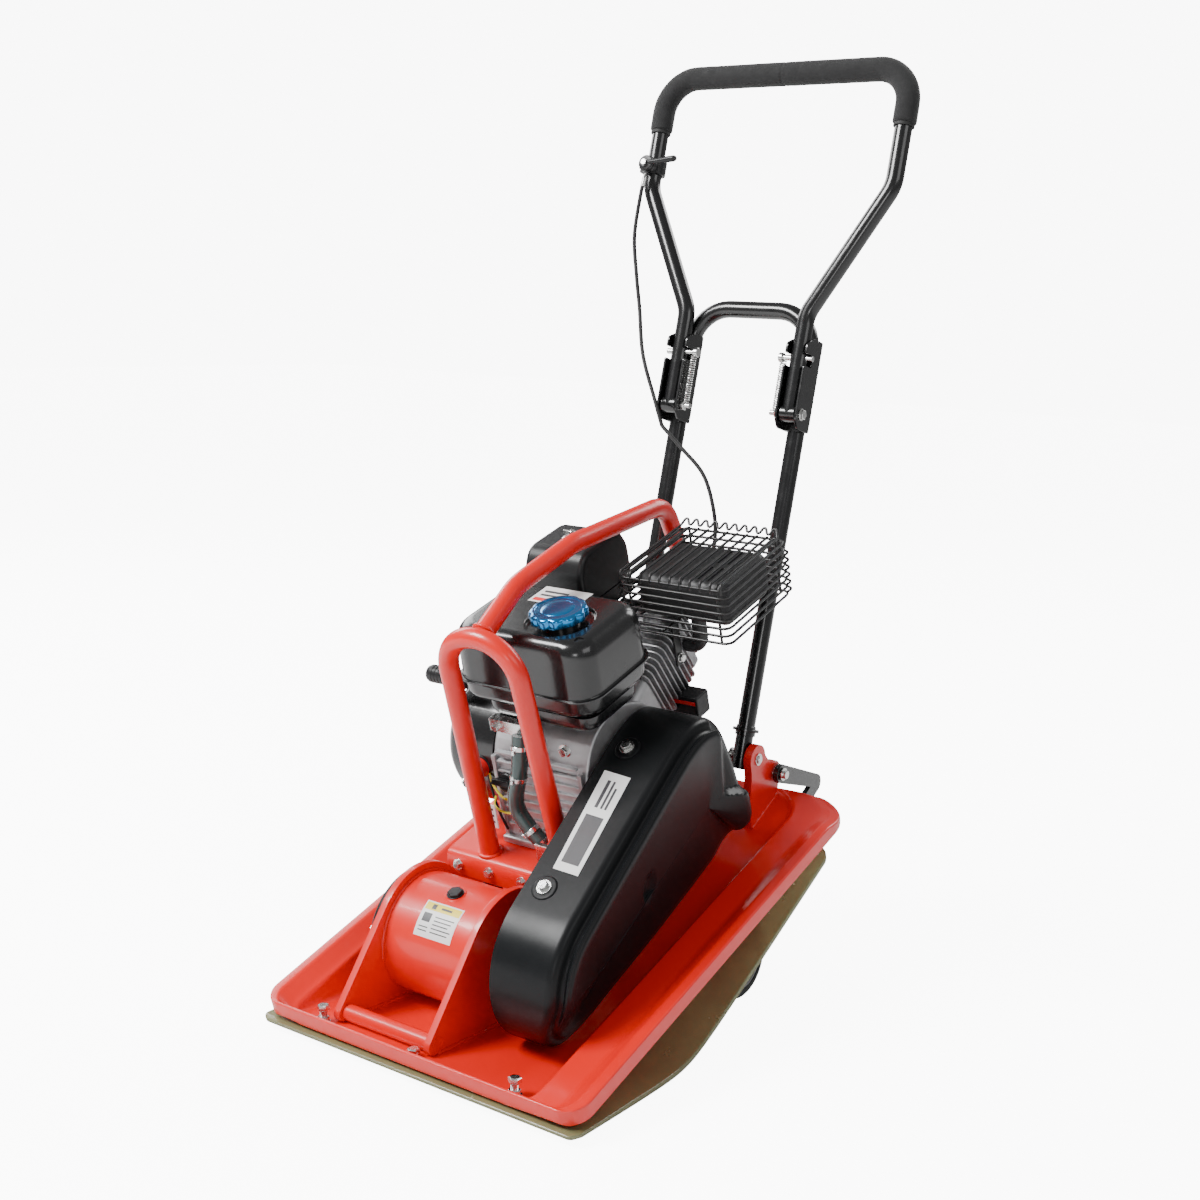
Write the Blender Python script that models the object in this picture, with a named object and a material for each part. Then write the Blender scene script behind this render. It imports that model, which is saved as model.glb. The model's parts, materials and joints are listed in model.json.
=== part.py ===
"""Plate compactor: a petrol engine drives an eccentric exciter on a steel tray with a soft pad.

Everything is drawn in the machine's own frame, in metres: x runs across the plate (belt side +),
y from the front lip to the handle, z up from the plane of the plate's rim. The whole machine
hangs on one empty that tips it forward, onto its transport wheels and the front pad bolts.
"""
import math
import bpy
import bmesh
from mathutils import Matrix, Vector

# ---- driving dimensions ---------------------------------------------------------------------
GAP = 0.0003                        # clearance between pieces that touch
TILT = math.radians(18.0)           # forward tip of the parked machine
HALF_WIDTH = 0.25                   # base plate, at its rim
PLATE_LENGTH = 0.70
PLATE_THICK = 0.008
FRONT_CORNER, REAR_CORNER = 0.032, 0.065
RIM_RISE, RIM_TOP = 0.0155, 0.014   # height of the turned-up rim above the deck, and its width on top
FRONT_SLOPE, REAR_SLOPE = 0.373, 0.17
BELLY_SOFTNESS = 0.011              # rounds the bend between the two slopes
LEFT_LEDGE, RIGHT_LEDGE = 0.042, 0.076   # from the rim's outer face to the fold down into the tray
FRONT_LIP = (0.0045, 0.0075)        # y of the front lip's top edge and of its foot on the deck
PAD_THICK, PAD_LENGTH, PAD_FRONT, PAD_CORNER = 0.008, 0.622, -0.007, 0.015
MID_X = -0.04                       # centre plane of the engine and of the lifting frame
EXCITER_Y, EXCITER_Z = 0.200, 0.017
PLUG_X, PLUG_ANGLE = -0.063, 92.0   # place of the oil plug on the exciter's housing
CRANK_Y, CRANK_Z = 0.445, 0.181
CYLINDER_LEAN = math.radians(25.0)
BED_TOP, BED_THICK = 0.075, 0.008
TANK_LOW, TANK_HIGH = 0.290, 0.400
BELT_X = 0.090                      # plane of the V belt
DRUM_RADIUS, PULLEY_RADIUS = 0.045, 0.036
TUBE_RADIUS, FRAME_RADIUS = 0.0125, 0.0135
HANDLE_FOOT = (0.650, 0.080)        # y, z of the lower handle's hinge
HANDLE_LEAN = math.radians(31.2)
HANDLE_X, GRIP_X = 0.100, 0.201     # half widths of the handle at its foot and at its grip
FOLD_T, FOLD_N = 0.492, 0.027       # fold hinge, along and in front of the lower handle
WHEEL_RADIUS, WHEEL_Y = 0.056, 0.460
KIT_PIVOT = (0.690, 0.035)          # y, z of the wheel frame's hinge
ARM_X = 0.136

MATERIALS = {
    "red_paint": ((0.80, 0.045, 0.02), 0.28, 0.0),
    "black_paint": ((0.012, 0.012, 0.013), 0.30, 0.0),
    "black_plastic": ((0.015, 0.015, 0.016), 0.45, 0.0),
    "tank_paint": ((0.010, 0.010, 0.010), 0.32, 0.0),
    "cast_aluminium": ((0.50, 0.50, 0.51), 0.42, 0.9),
    "zinc": ((0.72, 0.72, 0.70), 0.28, 1.0),
    "steel": ((0.45, 0.45, 0.46), 0.35, 1.0),
    "rubber": ((0.020, 0.020, 0.020), 0.85, 0.0),
    "foam": ((0.018, 0.018, 0.019), 0.95, 0.0),
    "pad_polyurethane": ((0.28, 0.22, 0.10), 0.30, 0.0),
    "blue_cap": ((0.01, 0.16, 0.55), 0.18, 0.7),
    "red_plastic": ((0.75, 0.01, 0.01), 0.35, 0.0),
    "wire_paint": ((0.010, 0.010, 0.010), 0.40, 0.0),
}

for old in list(bpy.data.objects):
    bpy.data.objects.remove(old, do_unlink=True)


# ---- helpers ----------------------------------------------------------------------------------
def material(name):
    found = bpy.data.materials.get(name)
    if found:
        return found
    made = bpy.data.materials.new(name)
    made.use_nodes = True
    shader = made.node_tree.nodes["Principled BSDF"]
    colour, roughness, metallic = MATERIALS[name]
    shader.inputs["Base Color"].default_value = (*colour, 1.0)
    shader.inputs["Roughness"].default_value = roughness
    shader.inputs["Metallic"].default_value = metallic
    return made


def add_object(name, mesh):
    made = bpy.data.objects.new(name, mesh)
    bpy.context.scene.collection.objects.link(made)
    return made


def skin(rings, closed=False, name="tool"):
    """A closed solid over a row of equal rings; closed joins the last ring to the first."""
    shape = bmesh.new()
    rows = [[shape.verts.new(point) for point in ring] for ring in rings]
    pairs = list(zip(rows, rows[1:]))
    if closed:
        pairs.append((rows[-1], rows[0]))
    for low, high in pairs:
        for i in range(len(low)):
            j = (i + 1) % len(low)
            shape.faces.new((low[i], low[j], high[j], high[i]))
    if not closed:
        shape.faces.new(rows[0][::-1])
        shape.faces.new(rows[-1])
    bmesh.ops.recalc_face_normals(shape, faces=shape.faces)
    mesh = bpy.data.meshes.new(name)
    shape.to_mesh(mesh)
    shape.free()
    return add_object(name, mesh)


def axes_for(direction):
    direction = Vector(direction).normalized()
    side = Vector((1, 0, 0)) if abs(direction.x) < 0.9 else Vector((0, 1, 0))
    first = direction.cross(side).normalized()
    return direction, first, direction.cross(first).normalized()


def ring_at(centre, first, second, radius, count, turn=0.0):
    centre = Vector(centre)
    angles = [2 * math.pi * i / count + turn for i in range(count)]
    return [centre + radius * (math.cos(a) * first + math.sin(a) * second) for a in angles]


def turned(start, direction, profile, count=20, turn=0.0):
    """A solid of revolution: profile holds (distance along the axis, radius)."""
    direction, first, second = axes_for(direction)
    rings = [ring_at(Vector(start) + h * direction, first, second, r, count, turn) for h, r in profile]
    return skin(rings)


def hollow_turned(start, direction, profile, count=20):
    """Like turned, but the profile is a closed loop that stays off the axis."""
    direction, first, second = axes_for(direction)
    rings = []
    for i in range(count):
        a = 2 * math.pi * i / count
        out = math.cos(a) * first + math.sin(a) * second
        rings.append([Vector(start) + h * direction + r * out for h, r in profile])
    return skin(rings, closed=True)


def rod(start, end, radius, count=16, turn=0.0):
    span = Vector(end) - Vector(start)
    return turned(start, span, [(0.0, radius), (span.length, radius)], count, turn)


def box(low, high):
    (x0, y0, z0), (x1, y1, z1) = low, high
    base = [(x0, y0), (x1, y0), (x1, y1), (x0, y1)]
    return skin([[(x, y, z) for x, y in base] for z in (z0, z1)])


def prism(outline, x0, x1):
    """A plate whose outline is given as (y, z), from x0 to x1."""
    return skin([[(x, y, z) for y, z in outline] for x in (x0, x1)])


def fillet(points, radius, steps=5):
    """The same polyline with its inner corners rounded."""
    points = [Vector(p) for p in points]
    radii = radius if isinstance(radius, (list, tuple)) else [radius] * (len(points) - 2)
    path = [points[0]]
    for before, corner, after, r in zip(points, points[1:], points[2:], radii):
        one = (before - corner).normalized()
        two = (after - corner).normalized()
        half = one.angle(two) / 2
        reach = r / math.tan(half)
        centre = corner + (one + two).normalized() * (r / math.sin(half))
        start = corner + one * reach - centre
        end = corner + two * reach - centre
        sweep = start.angle(end)
        normal = start.cross(end).normalized()
        for k in range(steps + 1):
            path.append(centre + Matrix.Rotation(sweep * k / steps, 3, normal) @ start)
    path.append(points[-1])
    return path


def sweep_rings(path, radius, count):
    """Rings square to the path, without twist."""
    path = [Vector(p) for p in path]
    tangents = []
    for i in range(len(path)):
        tangents.append((path[min(i + 1, len(path) - 1)] - path[max(i - 1, 0)]).normalized())
    _, first, _ = axes_for(tangents[0])
    rings = []
    for i, (point, tangent) in enumerate(zip(path, tangents)):
        if i:
            first = tangents[i - 1].rotation_difference(tangent) @ first
        second = tangent.cross(first).normalized()
        rings.append(ring_at(point, first, second, radius, count))
    return rings


def tube(path, radius, count=10):
    return skin(sweep_rings(path, radius, count))


def sleeve(path, outer, inner, count=10):
    """A hollow tube with open ends."""
    outside = sweep_rings(path, outer, count)
    inside = sweep_rings(path, inner, count)
    loops = outside + inside[::-1]
    return skin(loops, closed=True)


def combine(base, tools, operation):
    for tool in tools:
        step = base.modifiers.new(operation.lower(), "BOOLEAN")
        step.operation = operation
        step.solver = "EXACT"
        step.object = tool
    bpy.context.view_layer.update()
    seen = base.evaluated_get(bpy.context.evaluated_depsgraph_get())
    result = bpy.data.meshes.new_from_object(seen)
    base.modifiers.clear()
    base.data = result
    for tool in tools:
        bpy.data.objects.remove(tool, do_unlink=True)
    return base


def fuse(base, *tools):
    return combine(base, tools, "UNION")


def cut(base, *tools):
    return combine(base, tools, "DIFFERENCE")


def rounded(base, width, segments=2, angle=35.0):
    bevel = base.modifiers.new("rounded edges", "BEVEL")
    bevel.width = width
    bevel.segments = segments
    bevel.limit_method = "ANGLE"
    bevel.angle_limit = math.radians(angle)
    bevel.use_clamp_overlap = True
    return combine(base, (), "UNION")


MACHINE = bpy.data.objects.new("machine", None)
bpy.context.scene.collection.objects.link(MACHINE)
MACHINE.rotation_euler = (TILT, 0.0, 0.0)


def finish(piece, name, finish_name, axis_point=None):
    """Name the piece, give it its material and put its origin on its joint's axis."""
    piece.name = name
    piece.data.name = name
    piece.data.materials.clear()
    piece.data.materials.append(material(finish_name))
    for polygon in piece.data.polygons:
        polygon.material_index = 0
    piece.data.shade_smooth()
    piece.data.set_sharp_from_angle(angle=math.radians(35.0))
    if axis_point is not None:
        piece.data.transform(Matrix.Translation(-Vector(axis_point)))
        piece.location = axis_point
    piece.parent = MACHINE
    return piece


# ---- places worked out from the dimensions -------------------------------------------------------
def belly(y):
    """Height of the base plate's under side at y."""
    front = -PLATE_THICK - FRONT_SLOPE * y
    rear = -PLATE_THICK - REAR_SLOPE * (PLATE_LENGTH - y)
    return (front + rear) / 2 + math.hypot((front - rear) / 2, BELLY_SOFTNESS)


def deck(y):
    """Height of the base plate's top side at y."""
    return belly(y) + PLATE_THICK


def on_handle(along, front=0.0, x=0.0):
    """A point in the handle's leaning plane, along it from the foot and in front of it."""
    s, c = math.sin(HANDLE_LEAN), math.cos(HANDLE_LEAN)
    return Vector((x, HANDLE_FOOT[0] + along * s - front * c, HANDLE_FOOT[1] + along * c + front * s))


HANDLE_UP = on_handle(1.0) - on_handle(0.0)
HANDLE_FRONT = on_handle(0.0, 1.0) - on_handle(0.0)
FOLD_AXIS = on_handle(FOLD_T, FOLD_N)
BOLT_LEAN = math.atan(FRONT_SLOPE)
BOLT_UP = Vector((0.0, math.sin(BOLT_LEAN), math.cos(BOLT_LEAN)))
BOLT_Y = 0.014
NUT_RADIUS, NUT_DROP = 0.0085, 0.0176


def world_height(y, z):
    return y * math.sin(TILT) + z * math.cos(TILT)


def nut_bottom():
    """Height, in the parked machine, of the lowest rim of a pad nut."""
    centre = Vector((0.0, BOLT_Y, belly(BOLT_Y))) - BOLT_UP * NUT_DROP
    rim = centre + NUT_RADIUS * Vector((0.0, math.cos(BOLT_LEAN), -math.sin(BOLT_LEAN)))
    return world_height(rim.y, rim.z)


GROUND = nut_bottom()
WHEEL_Z = (GROUND + WHEEL_RADIUS - WHEEL_Y * math.sin(TILT)) / math.cos(TILT)


# ---- base plate and pad ------------------------------------------------------------------------
def half_width(y):
    """Half width of the rim, with rounded corners front and rear."""
    corner, inset = FRONT_CORNER, FRONT_CORNER - y
    if y > PLATE_LENGTH / 2:
        corner, inset = REAR_CORNER, REAR_CORNER - (PLATE_LENGTH - y)
    return HALF_WIDTH - corner + math.sqrt(max(corner ** 2 - max(inset, 0.0) ** 2, 0.0))


def rim_rise(y):
    """Height of the rim above the level of the deck's ends; it runs out at the rear."""
    return RIM_RISE * max(0.08, min(1.0, (0.686 - y) / 0.070))


def half_section(y, ledge):
    """Half a loop (x, z) through the tray at y, from the under side out to the rim and back along the top."""
    low = belly(y)
    depth = max(-low, PLATE_THICK + 0.001) - PLATE_THICK
    wide = half_width(y)
    foot = wide - ledge + 0.002 - 0.06 * depth
    soft = min(0.016, depth * 0.5 + 0.001)
    under = low + depth + 0.0015
    rim = low + depth + PLATE_THICK + rim_rise(y)
    outer = [(foot - soft, low), (foot, low + 0.28 * soft), (foot + 0.62 * soft, low + soft),
             (wide - 0.026, under), (wide, under + 0.0005), (wide, rim)]
    if y < FRONT_LIP[0] + 1e-6:
        return outer + [(wide - RIM_TOP, rim), (wide - 0.034, rim), (wide - ledge, rim), (foot - 0.012, rim),
                        (foot - 0.014, rim), (foot - soft - 0.020, rim)]
    return outer + [(wide - RIM_TOP, rim), (wide - 0.034, under + PLATE_THICK + 0.002),
                    (wide - ledge, under + PLATE_THICK), (foot + 0.62 * soft - 0.0095, low + 1.2 * soft + PLATE_THICK),
                    (foot - 0.0062, low + 0.28 * soft + PLATE_THICK), (foot - soft - 0.004, low + PLATE_THICK)]


def plate_section(y):
    """Closed loop through the tray at y."""
    left = [(-x, z) for x, z in half_section(y, LEFT_LEDGE)[::-1]]
    return [Vector((x, y, z)) for x, z in half_section(y, RIGHT_LEDGE) + left]


def pad_outline(y):
    front = max(PAD_CORNER - (y - PAD_FRONT), 0.0)
    rear = max(0.025 - (PAD_LENGTH - y), 0.0)
    if rear > 0:
        return HALF_WIDTH - 0.025 + math.sqrt(0.025 ** 2 - rear ** 2)
    return HALF_WIDTH - PAD_CORNER + math.sqrt(max(PAD_CORNER ** 2 - front ** 2, 0.0))


def build_base():
    stations = [0.0, 0.0015, *FRONT_LIP, 0.0135, 0.022, 0.032, 0.11, 0.16, 0.19, 0.215, 0.24, 0.28, 0.36,
                0.50, 0.616, 0.635, 0.656, 0.672, 0.686, 0.695, 0.70]
    plate = skin([plate_section(y) for y in stations])
    cells = [PAD_FRONT, -0.0055, -0.002, 0.002, 0.008, 0.022, 0.032, 0.11, 0.16, 0.19, 0.215, 0.24, 0.28,
             0.36, 0.50, 0.598, 0.609, 0.617, 0.622]
    rings = []
    for y in cells:
        wide = pad_outline(y)
        top = belly(max(y, 0.0)) - GAP
        rings.append([Vector((x * wide, y, z)) for x, z in
                      ((-1, top), (1, top), (1, top - PAD_THICK), (-1, top - PAD_THICK))])
    pad = skin(rings)
    for tag, x, rise in (("left", -0.159, 0.024), ("middle", -0.0080, 0.012), ("right", 0.147, 0.024)):
        seat = Vector((x, BOLT_Y, belly(BOLT_Y)))
        for part in (plate, pad):
            cut(part, rod(seat - BOLT_UP * 0.03, seat + BOLT_UP * 0.03, 0.0050, 12))
        under = PAD_THICK / math.cos(BOLT_LEAN) + GAP
        profile = [(-NUT_DROP, NUT_RADIUS), (-under, NUT_RADIUS), (-under, 0.0045), (rise, 0.0045),
                   (rise, 0.0082), (rise + 0.0065, 0.0082)]
        finish(turned(seat, BOLT_UP, profile, 12), "pad_bolt_" + tag, "zinc")
    finish(plate, "base_plate", "red_paint")
    finish(pad, "polyurethane_pad", "pad_polyurethane")


# ---- exciter -----------------------------------------------------------------------------------
GUSSET_THICK = 0.010
GUSSETS = {"left": (-0.149, -0.139), "right": (0.0, 0.010)}


def gusset_outline():
    reach = 0.0915
    tip = Vector((0.0385, -0.001))
    tip_radius = 0.0115
    outline = [(0.0325, deck(0.0325) + 0.0008)]
    for degrees in (208, 181, 154, 127):
        a = math.radians(degrees)
        outline.append((tip.x + tip_radius * math.cos(a), tip.y + tip_radius * math.sin(a)))
    for k in range(9):
        a = math.radians(127 - 15 * k)
        outline.append((EXCITER_Y + reach * math.cos(a), EXCITER_Z + reach * math.sin(a)))
    for y in (0.292, 0.28, 0.24, 0.215, 0.19, 0.16, 0.11):
        outline.append((y, deck(y) + 0.0012))
    return outline


def build_exciter():
    centre = (EXCITER_Y, EXCITER_Z)
    for tag, (x0, x1) in GUSSETS.items():
        plate = prism(gusset_outline(), x0, x1)
        cut(plate, rod((x0 - 0.01, *centre), (x1 + 0.01, *centre), 0.036, 24))
        finish(plate, "exciter_gusset_" + tag, "red_paint")
        middle = (x0 + x1) / 2
        race = [(-0.0075, 0.0125), (0.0075, 0.0125), (0.0075, 0.0357), (-0.0075, 0.0357)]
        finish(hollow_turned((middle, *centre), (1, 0, 0), race, 20), "exciter_bearing_" + tag, "steel")
    length = GUSSETS["right"][0] - GUSSETS["left"][1] - 2 * GAP
    shell = [(0.0, 0.072), (length, 0.072), (length, 0.080), (0.0, 0.080)]
    start = (GUSSETS["left"][1] + GAP, *centre)
    housing = hollow_turned(start, (1, 0, 0), shell, 32)
    lean = math.radians(PLUG_ANGLE)
    top = Vector((PLUG_X, EXCITER_Y + 0.080 * math.cos(lean), EXCITER_Z + 0.080 * math.sin(lean)))
    out = Vector((0.0, math.cos(lean), math.sin(lean)))
    cut(housing, rod(top - out * 0.02, top + out * 0.02, 0.0075, 12))
    finish(housing, "exciter_housing", "red_paint")
    plug = [(-0.009, 0.0070), (0.0009, 0.0070), (0.0009, 0.0115), (0.004, 0.0115), (0.006, 0.009)]
    finish(turned(top, out, plug, 16), "exciter_oil_plug", "rubber")
    cover = [(0.011, 0.030), (0.011, 0.048), (0.0, 0.048), (0.0, 0.0810), (0.010, 0.0810), (0.016, 0.0745),
             (0.016, 0.030)]
    finish(turned((GUSSETS["left"][0] - GAP, *centre), (-1, 0, 0), cover, 24), "exciter_end_cover", "black_plastic")
    tie = rod((GUSSETS["left"][1] + GAP, 0.043, -0.0026), (GUSSETS["right"][0] - GAP, 0.043, -0.0026), 0.0108, 16)
    finish(tie, "gusset_tie_rod", "red_paint")
    shaft = rod((-0.150, *centre), (0.108, *centre), 0.0120, 16)
    weight = []
    for k in range(11):
        a = math.radians(180 + 18 * k)
        weight.append((EXCITER_Y + 0.058 * math.cos(a), EXCITER_Z + 0.058 * math.sin(a)))
    fuse(shaft, prism(weight, -0.125, -0.015))
    axis = (0.0, *centre)
    finish(shaft, "exciter_shaft", "steel", axis)
    groove = [(-0.016, 0.0123), (0.016, 0.0123), (0.016, PULLEY_RADIUS + 0.010), (0.009, PULLEY_RADIUS + 0.010),
              (0.005, PULLEY_RADIUS - 0.001), (-0.005, PULLEY_RADIUS - 0.001), (-0.009, PULLEY_RADIUS + 0.010),
              (-0.016, PULLEY_RADIUS + 0.010)]
    finish(hollow_turned((BELT_X, *centre), (1, 0, 0), groove, 20), "exciter_pulley", "cast_aluminium", axis)


def build_belt():
    """One loop over both pulleys, a slim trapezium across."""
    low = Vector((EXCITER_Y, EXCITER_Z))
    high = Vector((CRANK_Y, CRANK_Z))
    span = high - low
    heading = math.atan2(span.y, span.x)
    lean = math.asin((DRUM_RADIUS - PULLEY_RADIUS) / span.length)
    centres = []
    for k in range(9):
        a = heading + math.pi / 2 + lean + (math.pi - 2 * lean) * k / 8
        centres.append((low, a, PULLEY_RADIUS))
    for k in range(9):
        a = heading - math.pi / 2 - lean + (math.pi + 2 * lean) * k / 8
        centres.append((high, a, DRUM_RADIUS))
    rings = []
    for centre, a, radius in centres:
        out = Vector((math.cos(a), math.sin(a)))
        ring = []
        for x, r in ((-0.0040, 0.0008), (0.0040, 0.0008), (0.0052, 0.0085), (-0.0052, 0.0085)):
            spot = centre + out * (radius + r)
            ring.append(Vector((BELT_X + x, spot.x, spot.y)))
        rings.append(ring)
    finish(skin(rings, closed=True), "v_belt", "rubber")


# ---- belt cover ----------------------------------------------------------------------------------
def cover_outline():
    """Side view of the belt cover, as (y, z)."""
    outline = []
    for k in range(8):
        a = math.radians(235 - 17 * k)
        outline.append((0.199 + 0.106 * math.cos(a), 0.040 + 0.104 * math.sin(a)))
    outline += [(0.225, 0.163), (0.325, 0.202), (0.425, 0.241), (0.470, 0.248), (0.520, 0.236), (0.553, 0.203),
                (0.572, 0.150), (0.584, 0.090), (0.588, 0.045), (0.578, 0.012), (0.556, 0.004), (0.532, 0.003),
                (0.520, -0.012), (0.460, -0.021), (0.360, -0.034), (0.260, -0.043), (0.190, -0.050)]
    return outline


def toward_core(point, amount):
    """Pull a cover point towards the line between the two pulleys."""
    a, b = Vector((0.20, 0.035)), Vector((0.47, 0.115))
    p = Vector(point)
    along = max(0.0, min(1.0, (p - a).dot(b - a) / (b - a).length_squared))
    return p + (a + (b - a) * along - p) * amount


COVER_X = 0.062
COVER_LAYERS = ((COVER_X, 0.0, 0.0), (0.120, 0.0, 0.06), (0.146, 0.03, 0.22), (0.154, 0.09, 0.30),
                (0.166, 0.22, 0.42), (0.172, 0.36, 0.55))


def build_cover():
    outline = cover_outline()

    def layer(x, top, bottom, shrink):
        ring = []
        for y, z in outline:
            core = 0.035 + (y - 0.20) * 0.296
            spot = toward_core(toward_core((y, z), top if z > core else bottom), shrink)
            ring.append(Vector((x, spot.x, spot.y)))
        return ring

    outside = [layer(x, top, bottom, 0.0) for x, top, bottom in COVER_LAYERS]
    inside = [layer(x - 0.0035 if x > COVER_X else x, top, bottom, 0.05) for x, top, bottom in COVER_LAYERS]
    cover = skin(inside[::-1] + outside)
    up = Vector((0.0, -0.363, 0.932))
    for tag, spot in (("front", (0.0915, 0.196, 0.1516)), ("rear", (0.091, 0.402, 0.2324))):
        seat = Vector(spot)
        cut(cover, rod(seat - up * 0.03, seat + up * 0.02, 0.0040, 12))
        profile = [(-0.010, 0.0036), (0.0012, 0.0036), (0.0012, 0.0100), (0.0028, 0.0100), (0.0028, 0.0075),
                   (0.0085, 0.0075)]
        finish(turned(seat, up, profile, 12), "cover_bolt_" + tag, "zinc")
    finish(cover, "belt_cover", "black_plastic")


# ---- engine bed, mounts and lifting frame ----------------------------------------------------------
BED_X = (-0.165, 0.056)
BED_Y = (0.300, 0.604)


def build_bed():
    low = BED_TOP - BED_THICK
    front, rear = BED_Y
    outline = [(front - 0.006, 0.040), (front, 0.036), (front + 0.008, low), (rear, low), (rear, BED_TOP),
               (front + 0.002, BED_TOP), (front - 0.005, BED_TOP - 0.010)]
    bed = prism(outline, *BED_X)
    fuse(bed, box((MID_X - 0.040, rear - 0.010, low), (MID_X + 0.040, 0.722, BED_TOP)))
    cut(bed, box((-0.075, 0.400, 0.05), (0.020, 0.520, 0.09)))
    spots = {"front_left": (-0.138, 0.345), "front_right": (0.030, 0.345),
             "rear_left": (-0.138, 0.572), "rear_right": (0.030, 0.572)}
    for tag, (x, y) in spots.items():
        foot = deck(y + 0.020) + 0.0012
        profile = [(0.0, 0.018), (0.003, 0.018), (0.004, 0.014), (low - foot - 0.0035, 0.014),
                   (low - foot - 0.003, 0.018), (low - foot - GAP, 0.018)]
        finish(turned((x, y, foot), (0, 0, 1), profile, 16), "rubber_mount_" + tag, "rubber")
    finish(bed, "engine_bed", "red_paint")


def build_lifting_frame():
    foot = BED_TOP - 0.008
    hoop = [(MID_X - 0.064, 0.318, foot), (MID_X - 0.0555, 0.302, 0.420), (MID_X + 0.0555, 0.302, 0.420),
            (MID_X + 0.064, 0.318, foot)]
    frame = tube(fillet(hoop, 0.0545, 5), FRAME_RADIUS, 12)
    spine = [(MID_X, 0.303, 0.4140), (MID_X, 0.395, 0.4500), (MID_X, 0.520, 0.4530), (MID_X, 0.742, 0.4180),
             (MID_X, 0.768, 0.330), (MID_X, 0.700, foot)]
    back = tube(fillet(spine, [0.09, 0.12, 0.045, 0.10], 3), FRAME_RADIUS, 12)
    fuse(frame, back)
    cut(frame, box((-0.2, 0.2, BED_TOP - 0.04), (0.2, 0.8, BED_TOP + GAP)))
    finish(frame, "lifting_frame", "red_paint")


# ---- engine -----------------------------------------------------------------------------------------
def along_cylinder(reach, across=0.0, x=0.0):
    """A point on the cylinder's axis, at a distance from the crankshaft."""
    c, s = math.cos(CYLINDER_LEAN), math.sin(CYLINDER_LEAN)
    return Vector((x, CRANK_Y + reach * c - across * s, CRANK_Z + reach * s + across * c))


def cylinder_block(start, end, half, x0, x1):
    corners = [along_cylinder(start, -half), along_cylinder(end, -half), along_cylinder(end, half),
               along_cylinder(start, half)]
    return prism([(p.y, p.z) for p in corners], x0, x1)


ENGINE_X = (-0.100, 0.055)


def build_engine():
    foot = BED_TOP + GAP
    outline = [(0.352, foot), (0.575, foot), (0.575, foot + 0.010), (0.535, 0.112), (0.530, 0.200), (0.500, 0.245),
               (0.440, 0.268), (0.380, 0.255), (0.352, 0.205)]
    block = prism(outline, *ENGINE_X)
    fuse(block, cylinder_block(0.02, 0.105, 0.043, -0.062, 0.050))
    for k in range(6):
        start = 0.100 + k * 0.014
        fuse(block, cylinder_block(start + 0.0045, start + 0.0085, 0.054, -0.068, 0.054))
    fuse(block, cylinder_block(0.100, 0.190, 0.040, -0.060, 0.046))
    bore = (CRANK_Y, CRANK_Z)
    cut(block, rod((-0.11, *bore), (0.07, *bore), 0.0133, 16))
    cut(block, rod((-0.045, *bore), (0.025, *bore), 0.050, 20))
    cut(block, box((-0.046, 0.420, 0.30), (-0.040, 0.424, 0.31)))
    finish(block, "engine_block", "cast_aluminium")
    head = cylinder_block(0.190 + GAP, 0.205, 0.050, -0.064, 0.050)
    fuse(head, cylinder_block(0.204, 0.236, 0.033, -0.052, 0.038))
    finish(rounded(head, 0.004, 1), "cylinder_head", "cast_aluminium")
    crank_axis = (0.0, *bore)
    shaft = rod((-0.163, *bore), (0.118, *bore), 0.0125, 16)
    fuse(shaft, prism([(CRANK_Y + 0.044 * math.cos(math.radians(a)), CRANK_Z + 0.044 * math.sin(math.radians(a)))
                       for a in range(195, 346, 15)], -0.030, 0.010))
    fuse(shaft, turned((0.060, *bore), (1, 0, 0), [(0.0, 0.030), (0.014, 0.030)], 16))
    finish(shaft, "crankshaft", "steel", crank_axis)
    drum = [(-0.013, 0.0129), (0.016, 0.0129), (0.016, DRUM_RADIUS + 0.010), (0.009, DRUM_RADIUS + 0.010),
            (0.005, DRUM_RADIUS - 0.001), (-0.005, DRUM_RADIUS - 0.001), (-0.009, DRUM_RADIUS + 0.010),
            (-0.013, DRUM_RADIUS + 0.010)]
    finish(hollow_turned((BELT_X, *bore), (1, 0, 0), drum, 20), "clutch_drum", "steel", crank_axis)
    wheel = [(0.0, 0.0128), (0.034, 0.0128), (0.034, 0.040), (0.012, 0.050), (0.034, 0.060), (0.034, 0.082),
             (0.0, 0.082)]
    finish(hollow_turned((-0.110, *bore), (-1, 0, 0), wheel, 24), "flywheel", "cast_aluminium", crank_axis)
    reel = [(0.0, 0.0116), (0.012, 0.0116), (0.012, 0.060), (0.009, 0.060), (0.006, 0.054), (0.003, 0.060),
            (0.0, 0.060)]
    finish(hollow_turned((-0.1706, *bore), (-1, 0, 0), reel, 20), "starter_reel", "black_plastic", crank_axis)


def shroud_outline(scale):
    """Side view of the fan shroud: a scroll round the flywheel that opens over the cylinder."""
    outline = []
    for k in range(13):
        a = math.radians(100 + 17 * k)
        outline.append((CRANK_Y + scale * 0.094 * math.cos(a), CRANK_Z + scale * 0.094 * math.sin(a)))
    for reach, across in ((0.110, -0.062), (0.150, -0.060), (0.145, 0.055), (0.090, 0.074)):
        p = along_cylinder(reach * (0.5 + scale / 2), across * scale)
        outline.append((p.y, p.z))
    return outline


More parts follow.
